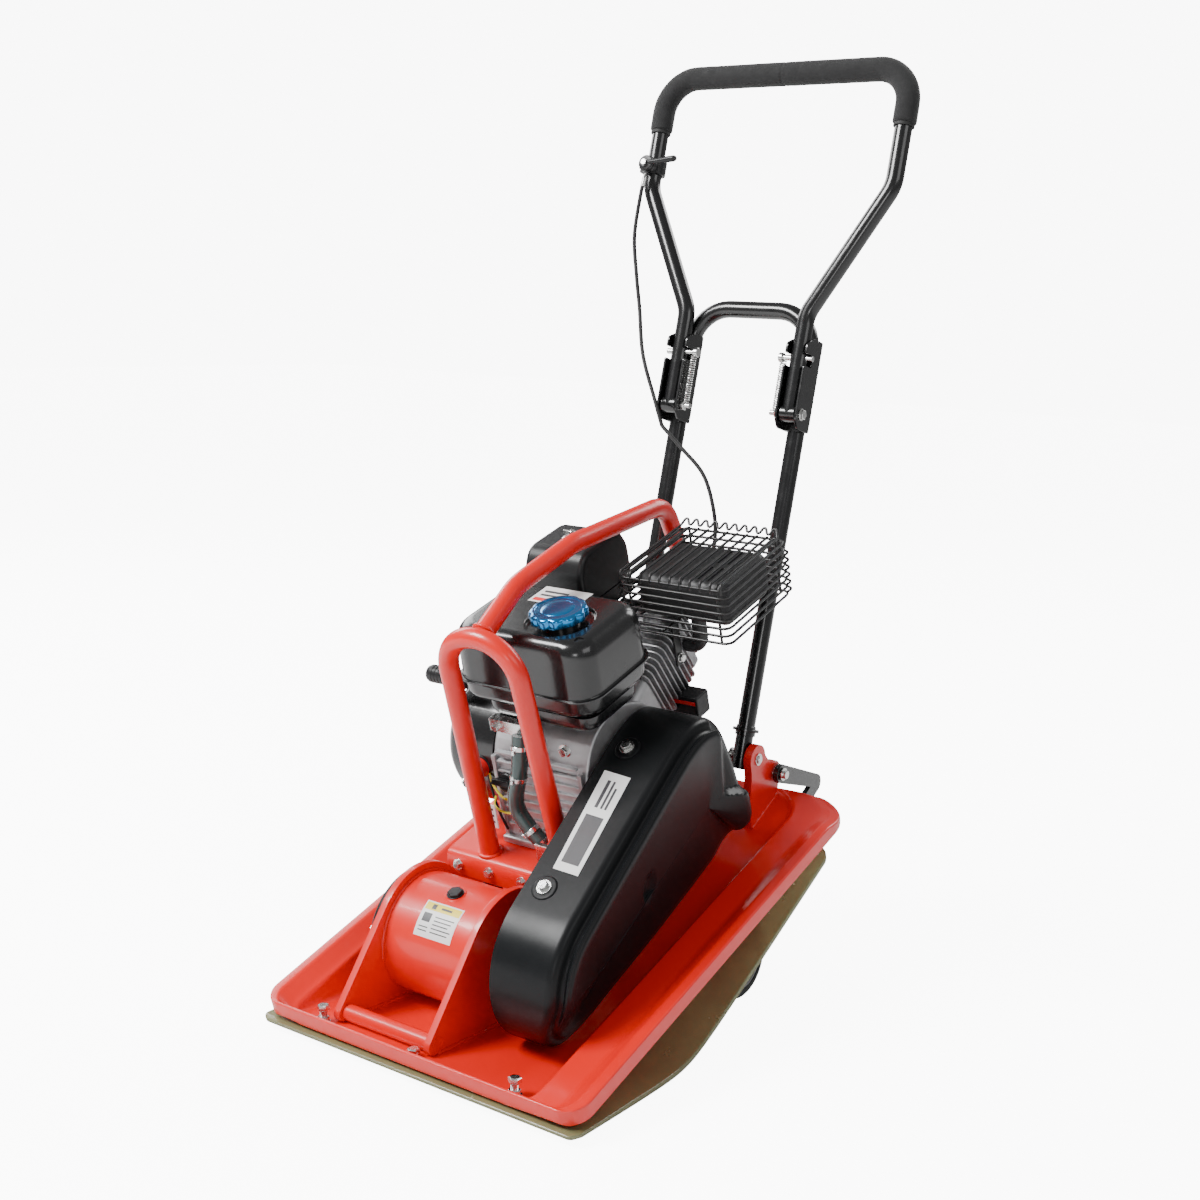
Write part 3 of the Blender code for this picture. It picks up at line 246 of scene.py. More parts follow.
def round_outline(points, radius, steps=6):
    """Closed 2D outline with rounded corners; radius may be one number or one for each corner."""
    pts = [Vector((p[0], p[1], 0)) for p in points]
    n = len(pts)
    radii = radius if isinstance(radius, (list, tuple)) else [radius] * n
    out = []
    for i in range(n):
        before, corner, after, r = pts[i - 1], pts[i], pts[(i + 1) % n], radii[i]
        one, two = (before - corner), (after - corner)
        l1, l2 = one.length, two.length
        one.normalize()
        two.normalize()
        angle = one.angle(two)
        if r <= 0 or angle > math.pi - 0.02:
            out.append((corner.x, corner.y))
            continue
        reach = min(r / math.tan(angle / 2), l1 * 0.49, l2 * 0.49)
        r = reach * math.tan(angle / 2)
        centre = corner + (one + two).normalized() * (r / math.sin(angle / 2))
        start, end = corner + one * reach - centre, corner + two * reach - centre
        sweep = start.angle(end)
        axis = start.cross(end).normalized()
        for k in range(steps + 1):
            p = centre + Matrix.Rotation(sweep * k / steps, 3, axis) @ start
            out.append((p.x, p.y))
    return out


def spline(points, per=12, loop=False):
    """A dense smooth curve through the points."""
    pts = [Vector(p) for p in points]
    if loop:
        padded = [pts[-1]] + pts + pts[:2]
    else:
        padded = [pts[0] * 2 - pts[1]] + pts + [pts[-1] * 2 - pts[-2]]
    dense = []
    for a, b, c, d in zip(padded, padded[1:], padded[2:], padded[3:]):
        for k in range(per):
            t = k / per
            dense.append(0.5 * (2 * b + (c - a) * t + (2 * a - 5 * b + 4 * c - d) * t ** 2
                                + (3 * b - a - 3 * c + d) * t ** 3))
    if not loop:
        dense.append(pts[-1])
    return dense


def resample(points, count, loop=False):
    pts = [Vector(p) for p in points]
    if loop:
        pts.append(pts[0].copy())
    steps = [(q - p).length for p, q in zip(pts, pts[1:])]
    total = sum(steps)
    out, walked, i = [], 0.0, 0
    stops = count if loop else count - 1
    for k in range(count):
        goal = total * k / stops
        while i < len(steps) - 1 and walked + steps[i] < goal:
            walked += steps[i]
            i += 1
        out.append(pts[i].lerp(pts[i + 1], min(1.0, (goal - walked) / max(steps[i], 1e-9))))
    return out


def tube_rings(path, radius, count):
    path = [Vector(p) for p in path]
    last = len(path) - 1
    radii = radius if isinstance(radius, (list, tuple)) else [radius] * (last + 1)
    tangents = [(path[min(i + 1, last)] - path[max(i - 1, 0)]).normalized() for i in range(last + 1)]
    _, first, _ = basis(tangents[0])
    rings = []
    for i, (point, tangent) in enumerate(zip(path, tangents)):
        if i:
            first = tangents[i - 1].rotation_difference(tangent) @ first
        second = tangent.cross(first).normalized()
        rings.append(circle(point, first, second, radii[i], count))
    return rings


def tube(path, radius, count=24):
    return skin(tube_rings(path, radius, count))


def coil(start, end, radius, wire, turns, count=10, per_turn=16):
    start, end = Vector(start), Vector(end)
    _, first, second = basis(end - start)
    steps = int(turns * per_turn)
    path = []
    for i in range(steps + 1):
        a = 2 * math.pi * turns * i / steps
        path.append(start.lerp(end, i / steps) + radius * (math.cos(a) * first + math.sin(a) * second))
    return tube(path, wire, count)


def joined(parts):
    """One object made of several; parts may overlap."""
    shape = bmesh.new()
    for part in parts:
        part.data.transform(part.matrix_world)
        shape.from_mesh(part.data)
    for part in parts:
        bpy.data.objects.remove(part, do_unlink=True)
    return from_bmesh(shape, "joined")


def boolean(base, tools, operation):
    for tool in tools:
        step = base.modifiers.new("b", "BOOLEAN")
        step.operation = operation
        step.solver = "EXACT"
        step.object = tool
    baked(base)
    for tool in tools:
        bpy.data.objects.remove(tool, do_unlink=True)
    return base


def cut(base, *tools):
    return boolean(base, tools, "DIFFERENCE")


def fuse(base, *tools):
    return boolean(base, tools, "UNION")


def hex_bolt(seat, up, across=0.013, head=0.0055, washer=0.0, shank=0.0, radius=0.004, turn=0.0):
    """Hexagon head with a chamfered top, with an optional washer under it and shank below."""
    seat, up = Vector(seat), Vector(up).normalized()
    r = across / math.sqrt(3)
    parts = []
    base = 0.0
    if washer:
        parts.append(lathe(seat, up, [(0, washer - 0.0004), (0.0003, washer), (0.0014, washer),
                                      (0.0017, washer - 0.0004)], 28))
        base = 0.0017
    body = lathe(seat, up, [(base, r * 0.97), (base + 0.0003, r), (base + head * 0.86, r), (base + head,
                                                                                            r * 0.86)],
                 6, turn)
    parts.append(body)
    parts.append(lathe(seat, up, [(base + head * 0.9, r * 0.80), (base + head + 0.0004, r * 0.76)], 24))
    if shank:
        parts.append(rod(seat - up * shank, seat + up * 0.0005, radius, 18))
    return joined(parts)


def nut(seat, up, across=0.013, height=0.0065, stud=0.003, radius=0.004):
    seat, up = Vector(seat), Vector(up).normalized()
    r = across / math.sqrt(3)
    body = lathe(seat, up, [(0, r * 0.92), (0.0006, r), (height - 0.0008, r), (height, r * 0.88)], 6)
    end = lathe(seat, up, [(0, radius), (height + stud, radius), (height + stud + 0.0008, radius * 0.8)],
                20)
    return joined([body, end])


def bead(path, radius=0.0028, pitch=0.0032):
    """A weld bead: a rippled tube along a path."""
    total = sum((Vector(b) - Vector(a)).length for a, b in zip(path, path[1:]))
    path = resample(path, max(12, int(total / 0.0011)))
    walked = 0.0
    radii = []
    for i in range(len(path)):
        if i:
            walked += (path[i] - path[i - 1]).length
        fade = min(1.0, (walked + 0.0006) / 0.004, (total - walked + 0.0006) / 0.004)
        radii.append(radius * (0.55 + 0.45 * fade) * (1 + 0.11 * math.sin(2 * math.pi * walked / pitch)
                                                      + 0.08 * math.sin(walked * 431.0 + radius * 9000)))
    return tube(path, radii, 10)


# ---- materials ------------------------------------------------------------------------------------


def make_material(name, colour, rough, metal=0.0, coat=0.0, bump=None, rough_noise=None, tint=None,
                  transmission=0.0, spec=0.5, sheen=0.0):
    """Procedural finish. bump is (scale, strength), rough_noise is (scale, amount) and tint is
    (scale, second colour, amount)."""
    made = bpy.data.materials.new(name)
    made.use_nodes = True
    tree = made.node_tree
    shader = tree.nodes["Principled BSDF"]
    for socket, value in (("Base Color", (*colour, 1)), ("Roughness", rough), ("Metallic", metal),
                          ("Specular IOR Level", spec), ("Coat Weight", coat), ("Coat Roughness", 0.08),
                          ("Transmission Weight", transmission), ("Sheen Weight", sheen)):
        shader.inputs[socket].default_value = value
    coords = tree.nodes.new("ShaderNodeTexCoord")

    def noise_node(scale, detail=4.0):
        node = tree.nodes.new("ShaderNodeTexNoise")
        node.inputs["Scale"].default_value = scale
        node.inputs["Detail"].default_value = detail
        node.inputs["Roughness"].default_value = 0.55
        tree.links.new(coords.outputs["Object"], node.inputs["Vector"])
        return node.outputs["Fac"]

    def ranged(source, low, high):
        node = tree.nodes.new("ShaderNodeMapRange")
        node.inputs["From Min"].default_value = 0.3
        node.inputs["From Max"].default_value = 0.7
        node.inputs["To Min"].default_value = low
        node.inputs["To Max"].default_value = high
        tree.links.new(source, node.inputs["Value"])
        return node.outputs["Result"]

    if tint:
        mix = tree.nodes.new("ShaderNodeMix")
        mix.data_type = "RGBA"
        mix.inputs["A"].default_value = (*colour, 1)
        mix.inputs["B"].default_value = (*tint[1], 1)
        tree.links.new(ranged(noise_node(tint[0]), 0.0, tint[2]), mix.inputs["Factor"])
        tree.links.new(mix.outputs["Result"], shader.inputs["Base Color"])
    if rough_noise:
        low, high = max(0.02, rough - rough_noise[1]), min(1.0, rough + rough_noise[1])
        tree.links.new(ranged(noise_node(rough_noise[0], 6.0), low, high), shader.inputs["Roughness"])
    if bump:
        node = tree.nodes.new("ShaderNodeBump")
        node.inputs["Strength"].default_value = bump[1]
        node.inputs["Distance"].default_value = 0.001
        tree.links.new(noise_node(bump[0], 3.0), node.inputs["Height"])
        tree.links.new(node.outputs["Normal"], shader.inputs["Normal"])
        if coat:
            tree.links.new(node.outputs["Normal"], shader.inputs["Coat Normal"])
    return made


FINISHES = {
    "red_paint": make_material("red_powder_coat", (0.80, 0.0075, 0.0020), 0.34, coat=0.35,
                               bump=(1400, 0.025),
                               rough_noise=(45, 0.03), tint=(5, (0.74, 0.0065, 0.0020), 0.5)),
    "black_paint": make_material("black_gloss_paint", (0.006, 0.006, 0.0065), 0.24, coat=0.4,
                                 bump=(700, 0.03),
                                 rough_noise=(60, 0.05)),
    "black_plastic": make_material("black_moulded_plastic", (0.008, 0.0083, 0.009), 0.38, bump=(2600, 0.08),
                                   rough_noise=(30, 0.05), spec=0.42),
    "cover_plastic": make_material("cover_moulded_plastic", (0.0085, 0.0092, 0.0102), 0.31,
                                   bump=(2200, 0.05),
                                   rough_noise=(22, 0.03), spec=0.18, tint=(14, (0.007, 0.0074, 0.008),
                                                                            0.5)),
    "tank_paint": make_material("tank_gloss_black", (0.0060, 0.0062, 0.0066), 0.24, coat=0.4,
                                bump=(500, 0.02),
                                rough_noise=(35, 0.04)),
    "cast_aluminium": make_material("cast_aluminium", (0.52, 0.52, 0.53), 0.44, 0.85, bump=(1500, 0.32),
                                    rough_noise=(80, 0.10), tint=(25, (0.42, 0.42, 0.43), 0.6)),
    "fin_aluminium": make_material("fin_aluminium", (0.46, 0.46, 0.47), 0.48, 0.85, bump=(900, 0.25),
                                   rough_noise=(60, 0.10), tint=(30, (0.33, 0.33, 0.34), 0.7)),
    "zinc": make_material("bright_zinc", (0.76, 0.76, 0.74), 0.24, 1.0, bump=(600, 0.06),
                          rough_noise=(200, 0.08),
                          tint=(90, (0.62, 0.63, 0.64), 0.5)),
    "steel": make_material("machined_steel", (0.47, 0.47, 0.48), 0.32, 1.0, bump=(1100, 0.08),
                           rough_noise=(150, 0.10)),
    "dark_steel": make_material("black_oxide_steel", (0.035, 0.035, 0.037), 0.36, 0.7, bump=(900, 0.08),
                                rough_noise=(150, 0.08)),
    "brass": make_material("brass", (0.72, 0.50, 0.18), 0.28, 1.0, rough_noise=(120, 0.08)),
    "rubber": make_material("black_rubber", (0.011, 0.011, 0.011), 0.66, bump=(1300, 0.14),
                            rough_noise=(60, 0.08)),
    "foam": make_material("closed_cell_foam", (0.009, 0.009, 0.0095), 0.86, bump=(1700, 0.50), sheen=0.12,
                          rough_noise=(90, 0.05)),
    "pad_polyurethane": make_material("olive_polyurethane", (0.33, 0.335, 0.16), 0.24, bump=(90, 0.05),
                                      rough_noise=(25, 0.05), tint=(11, (0.25, 0.26, 0.13), 0.8),
                                      transmission=0.45),
    "blue_cap": make_material("blue_anodised", (0.020, 0.24, 0.58), 0.20, 0.85, coat=0.4, bump=(400, 0.03),
                              rough_noise=(50, 0.05)),
    "red_plastic": make_material("red_moulded_plastic", (0.78, 0.012, 0.014), 0.30, bump=(900, 0.05),
                                 rough_noise=(70, 0.05)),
    "wire_paint": make_material("black_stove_enamel", (0.016, 0.016, 0.016), 0.36, bump=(900, 0.08),
                                rough_noise=(90, 0.06)),
    "muffler_paint": make_material("heat_resisting_black", (0.030, 0.030, 0.031), 0.50, 0.3,
                                   bump=(700, 0.15),
                                   rough_noise=(70, 0.10)),
    "label_white": make_material("label_white", (0.86, 0.86, 0.85), 0.34, rough_noise=(60, 0.05)),
    "label_yellow": make_material("label_yellow", (0.90, 0.70, 0.02), 0.34, rough_noise=(60, 0.05)),
    "label_grey": make_material("label_grey", (0.05, 0.05, 0.055), 0.40, rough_noise=(60, 0.05)),
    "yellow_wire": make_material("yellow_wire", (0.80, 0.66, 0.04), 0.35, rough_noise=(60, 0.05)),
    "green_hose": make_material("grey_green_hose", (0.030, 0.058, 0.056), 0.22, coat=0.3, bump=(300, 0.06),
                                rough_noise=(40, 0.08)),
    "wheel_hub": make_material("wheel_hub_plastic", (0.20, 0.20, 0.20), 0.45, bump=(1500, 0.10),
                               rough_noise=(40, 0.06)),
    "floor": make_material("studio_floor", (0.88, 0.88, 0.88), 0.80, rough_noise=(3, 0.05)),
}


def seen_only_by_camera(tree, strength, target):
    """Set a strength to its second value in the camera's own view and to its first everywhere else."""
    path = tree.nodes.new("ShaderNodeLightPath")
    node = tree.nodes.new("ShaderNodeMapRange")
    node.inputs["To Min"].default_value = strength[0]
    node.inputs["To Max"].default_value = strength[1]
    tree.links.new(path.outputs["Is Camera Ray"], node.inputs["Value"])
    tree.links.new(node.outputs["Result"], target)


floor_tree = FINISHES["floor"].node_tree
floor_tree.nodes["Principled BSDF"].inputs["Emission Color"].default_value = (1, 1, 1, 1)
seen_only_by_camera(floor_tree, (0.0, 9.0), floor_tree.nodes["Principled BSDF"].inputs["Emission Strength"])


def finish_mesh(obj, finish, smooth=32.0):
    obj.data.materials.clear()
    obj.data.materials.append(FINISHES[finish])
    for polygon in obj.data.polygons:
        polygon.material_index = 0
    obj.data.shade_smooth()
    obj.data.set_sharp_from_angle(angle=math.radians(smooth))
    keep = obj.modifiers.new("normals", "WEIGHTED_NORMAL")
    keep.keep_sharp = True
    keep.weight = 60


def put(obj, name, finish, body="chassis", stands_for=(), smooth=32.0):
    """Name the piece, finish it, place it in the row frame and let it ride on its body."""
    obj.name = name
    obj.data.name = name
    finish_mesh(obj, finish, smooth)
    obj.data.transform(MACHINE)
    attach(obj, body)
    if stands_for:
        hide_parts(*stands_for)
    return obj

# ---- the machine's own lines, as the CAD has them ---------------------------------------------------
MID_X = -0.04
PLATE_LENGTH, PLATE_THICK, HALF_WIDTH = 0.70, 0.008, 0.25
FRONT_CORNER, REAR_CORNER = 0.032, 0.065
LEFT_LEDGE, RIGHT_LEDGE = 0.042, 0.076
RIM_RISE, RIM_TOP = 0.0155, 0.014
PAD_THICK, PAD_LENGTH, PAD_FRONT, PAD_CORNER = 0.008, 0.622, -0.007, 0.015
BED_TOP, BED_THICK = 0.075, 0.008
HANDLE_LEAN = math.radians(31.2)
HANDLE_X, GRIP_X = 0.100, 0.201
FOLD_T, FOLD_N, LATCH_T = 0.492, 0.027, 0.572
TUBE_RADIUS, FRAME_RADIUS = 0.0125, 0.0135
BELT_X = 0.090


def belly(y):
    front, rear = -PLATE_THICK - 0.373 * y, -PLATE_THICK - 0.17 * (PLATE_LENGTH - y)
    return (front + rear) / 2 + math.hypot((front - rear) / 2, 0.011)


def deck(y):
    return belly(y) + PLATE_THICK


def on_handle(along, front=0.0, x=0.0):
    s, c = math.sin(HANDLE_LEAN), math.cos(HANDLE_LEAN)
    return Vector((x, 0.650 + along * s - front * c, 0.080 + along * c + front * s))


HANDLE_UP = on_handle(1.0) - on_handle(0.0)
HANDLE_FRONT = on_handle(0.0, 1.0) - on_handle(0.0)


def along_cylinder(reach, across=0.0, x=0.0):
    c, s = math.cos(math.radians(25)), math.sin(math.radians(25))
    return Vector((x, CRANK.y + reach * c - across * s, CRANK.z + reach * s + across * c))


def soften(points, reach, steps=4):
    """An open line whose inner corners are rounded; it always gives the same number of points."""
    points = [Vector(p) for p in points]
    out = [points[0]]
    for i in range(1, len(points) - 1):
        before, corner, after = points[i - 1], points[i], points[i + 1]
        r = reach[i - 1] if isinstance(reach, (list, tuple)) else reach
        a = corner + (before - corner).normalized() * min(r, 0.47 * (before - corner).length)
        b = corner + (after - corner).normalized() * min(r, 0.47 * (after - corner).length)
        for k in range(steps + 1):
            t = k / steps
            out.append(a * (1 - t) ** 2 + corner * (2 * t * (1 - t)) + b * t * t)
    out.append(points[-1])
    return out


def soft_loop(points, reach, steps=4):
    """A closed line with every corner rounded."""
    points = [Vector(p) for p in points]
    n = len(points)
    out = []
    for i in range(n):
        before, corner, after = points[i - 1], points[i], points[(i + 1) % n]
        r = reach[i] if isinstance(reach, (list, tuple)) else reach
        a = corner + (before - corner).normalized() * min(r, 0.49 * (before - corner).length)
        b = corner + (after - corner).normalized() * min(r, 0.49 * (after - corner).length)
        for k in range(steps + 1):
            t = k / steps
            out.append(a * (1 - t) ** 2 + corner * (2 * t * (1 - t)) + b * t * t)
    return out


def soft_outline(line, reach, steps=4):
    """A closed (y, z) outline with every corner rounded."""
    return [(p.x, p.y) for p in soft_loop([(y, z, 0) for y, z in line], reach, steps)]


def drawn_in(side, middle, stations):
    """A body along X: the side outline, drawn in towards its middle by each station's inset."""
    rings = []
    for x, inset in stations:
        ring = []
        for y, z in side:
            v = Vector((y, z)) - middle
            ring.append(Vector((x, *(middle + v * (1 - inset / v.length)))))
        rings.append(ring)
    return skin(rings)


def spoke(degrees):
    """Unit vectors out from an axis along X, and round it."""
    a = math.radians(degrees)
    return Vector((0, math.cos(a), math.sin(a))), Vector((0, -math.sin(a), math.cos(a)))


def arc(centre, radius, first, last, count):
    """Points (y, z) on an arc, in degrees."""
    out = []
    for k in range(count):
        a = math.radians(first + (last - first) * k / (count - 1))
        out.append((centre[0] + radius * math.cos(a), centre[1] + radius * math.sin(a)))
    return out


# ---- base plate and pad ----------------------------------------------------------------------------
def spread(start, end, count):
    return [start + (end - start) * k / (count - 1) for k in range(count)]


def corner_spots(start, corner, count=12):
    """Stations from start, close together where the plan's corner is round; a negative corner goes backwards."""
    return [start + corner * (1 - math.cos(math.pi / 2 * k / count)) for k in range(count + 1)]


def half_width(y):
    corner, inset = FRONT_CORNER, FRONT_CORNER - y
    if y > PLATE_LENGTH / 2:
        corner, inset = REAR_CORNER, REAR_CORNER - (PLATE_LENGTH - y)
    return HALF_WIDTH - corner + math.sqrt(max(corner ** 2 - max(inset, 0.0) ** 2, 0.0))


def half_ring(y, ledge):
    low = belly(y)
    depth = max(-low, PLATE_THICK + 0.001) - PLATE_THICK
    wide = half_width(y)
    foot = wide - ledge + 0.002 - 0.06 * depth
    soft = min(0.018, depth * 0.5 + 0.001)
    under = low + depth + 0.0015
    rim = low + depth + PLATE_THICK + RIM_RISE * max(0.08, min(1.0, (0.686 - y) / 0.070))
    fall = max(0.0, min(1.0, (y - 0.0040) / 0.0045))
    fall = fall * fall * (3 - 2 * fall)

    def inner(z):
        return rim + (z - rim) * fall

    half = soften([(foot - 0.034, low, 0), (foot, low, 0), (wide - 0.026, under, 0), (wide, under + 0.0005,
                                                                                      0),
                   (wide, rim, 0), (wide - RIM_TOP, rim, 0), (wide - 0.034,
                                                              inner(under + PLATE_THICK + 0.002), 0),
                   (wide - ledge, inner(under + PLATE_THICK), 0), (foot - 0.0078, inner(low + PLATE_THICK),
                                                                   0),
                   (foot - 0.036, inner(low + PLATE_THICK), 0)],
                  [soft, 0.004, 0.0015, 0.0030, 0.0030, 0.006, 0.005, soft])
    end = min(y, PLATE_LENGTH - y)
    trim = 0.0030 * (1 - math.sqrt(max(0.0, 1 - max(0.0, 1 - end / 0.0030) ** 2)))
    low_z, high_z = min(p.y for p in half), max(p.y for p in half)
    middle, reach = (low_z + high_z) / 2, (high_z - low_z) / 2
    return [Vector((p.x, y, middle + (p.y - middle) * (reach - trim) / reach)) for p in half]


def plate_ring(y):
    left = [Vector((-p.x, p.y, p.z)) for p in half_ring(y, LEFT_LEDGE)]
    return half_ring(y, RIGHT_LEDGE) + left[::-1]


def build_tray():
    spots = [0.0, 0.0003, 0.0008, 0.0016, 0.0030, 0.0040, 0.0048, 0.0056, 0.0064, 0.0072, 0.0080, 0.0088]
    spots += [y for y in corner_spots(0.0, FRONT_CORNER) if y > 0.0095] + spread(0.036, 0.630, 52)
    spots += corner_spots(PLATE_LENGTH, -REAR_CORNER, 16)
    spots += [PLATE_LENGTH - d for d in (0.0003, 0.0008, 0.0016, 0.0030)]
    stations = sorted(set(round(y, 5) for y in spots))
    put(skin([plate_ring(y) for y in stations]), "plate_tray", "red_paint", "chassis", ["base_plate"], 40)


def build_pad():
    rear = 0.025
    spots = [PAD_FRONT, PAD_FRONT + 0.0004, PAD_FRONT + 0.0012] + corner_spots(PAD_FRONT, PAD_CORNER)
    spots += spread(PAD_FRONT + PAD_CORNER + 0.004, PAD_LENGTH - rear - 0.004,
                    50) + corner_spots(PAD_LENGTH, -rear)
    stations = sorted(set(round(y, 5) for y in spots))
    rings = []
    for y in stations:
        corner, inset = PAD_CORNER, max(PAD_CORNER - (y - PAD_FRONT), 0.0)
        if y > 0.3:
            corner, inset = rear, max(rear - (PAD_LENGTH - y), 0.0)
        wide = HALF_WIDTH - corner + math.sqrt(max(corner ** 2 - inset ** 2, 0.0))
        drop = 0.0022 * max(0.0, 1 - max(y, 0.0) / 0.10)
        top, low = belly(max(y, 0.0)) - 0.0003 - drop, belly(max(y, 0.0)) - 0.0003 - PAD_THICK
        end = min(y - PAD_FRONT, PAD_LENGTH - y)
        thick = (top - low) / 2 * (0.55 + 0.45 * math.sqrt(max(0.0, 1 - max(0.0, 1 - end / 0.0020) ** 2)))
        mid = (top + low) / 2
        ring = soften([(wide - 0.02, mid - thick, 0), (wide, mid - thick, 0), (wide, mid + thick, 0),
                       (wide - 0.02, mid + thick, 0)], 0.0016, 3)
        right = [Vector((p.x, y, p.y)) for p in ring]
        rings.append(right + [Vector((-p.x, p.y, p.z)) for p in right[::-1]])
    put(skin(rings), "pad_sheet", "pad_polyurethane", "chassis", ["polyurethane_pad"], 40)


def build_pad_screws():
    lean = math.atan(0.373)
    up = Vector((0.0, math.sin(lean), math.cos(lean)))
    for tag, x, rise in (("left", -0.159, 0.024), ("middle", -0.0080, 0.012), ("right", 0.147, 0.024)):
        seat = Vector((x, 0.014, belly(0.014)))
        parts = [rod(seat - up * 0.0135, seat + up * (rise + 0.001), 0.0044, 20)]
        head = lathe(seat + up * rise, up, [(0.0, 0.0078), (0.0004, 0.0082), (0.0053, 0.0082),
                                            (0.0064, 0.0068)], 6)
        parts += [head, lathe(seat + up * rise, up, [(0.0060, 0.0062), (0.0067, 0.0058)], 24)]
        threads = int((rise - PLATE_THICK) / 0.00125)
        for k in range(threads):
            h = PLATE_THICK + 0.0006 + k * 0.00125
            parts.append(lathe(seat + up * h, up, [(0.0, 0.0042), (0.0005, 0.0049), (0.0010, 0.0042)], 20))
        parts.append(lathe(seat + up * (PLATE_THICK + 0.0002), up, [(0.0, 0.0094), (0.0003, 0.0098),
                                                                    (0.0013, 0.0098),
                                                                    (0.0016, 0.0094)], 28))
        parts.append(lathe(seat + up * (PLATE_THICK + 0.0017), up, [(0.0, 0.0078), (0.0005, 0.0082),
                                                                    (0.0050, 0.0082),
                                                                    (0.0056, 0.0074)], 6, 0.4))
        put(joined(parts), "pad_screw_" + tag, "zinc", "chassis", ["pad_bolt_" + tag], 30)
        washer = lathe(seat - up * 0.0034, up, [(0.0, 0.0082), (0.0003, 0.0086), (0.0028, 0.0086),
                                                (0.0031, 0.0082)], 28)
        put(washer, "pad_washer_" + tag, "brass", smooth=30)
        locknut = joined([
            lathe(seat - up * 0.0168, up, [(0.0, 0.0050), (0.0004, 0.0072), (0.0016, 0.0076),
                                           (0.0022, 0.0085),
                                           (0.0062, 0.0085), (0.0068, 0.0079)], 6),
            lathe(seat - up * 0.0103, up, [(0.0, 0.0102), (0.0002, 0.0106), (0.0012, 0.0106),
                                           (0.0014, 0.0102)], 28)])
        put(locknut, "pad_nut_" + tag, "dark_steel", smooth=30)


# ---- exciter -------------------------------------------------------------------------------------------
GUSSETS = {"left": (-0.149, -0.139), "right": (0.0, 0.010)}


def gusset_outline():
    outline = [(0.0325, deck(0.0325))]
    outline += arc((0.0385, -0.001), 0.0115, 208, 127, 10)
    outline += arc((EXCITER.y, EXCITER.z), 0.0915, 127, 7, 34)
    y = 0.2915
    while y > 0.036:
        outline.append((y, deck(y) + 0.0002))
        y -= 0.012
    return outline


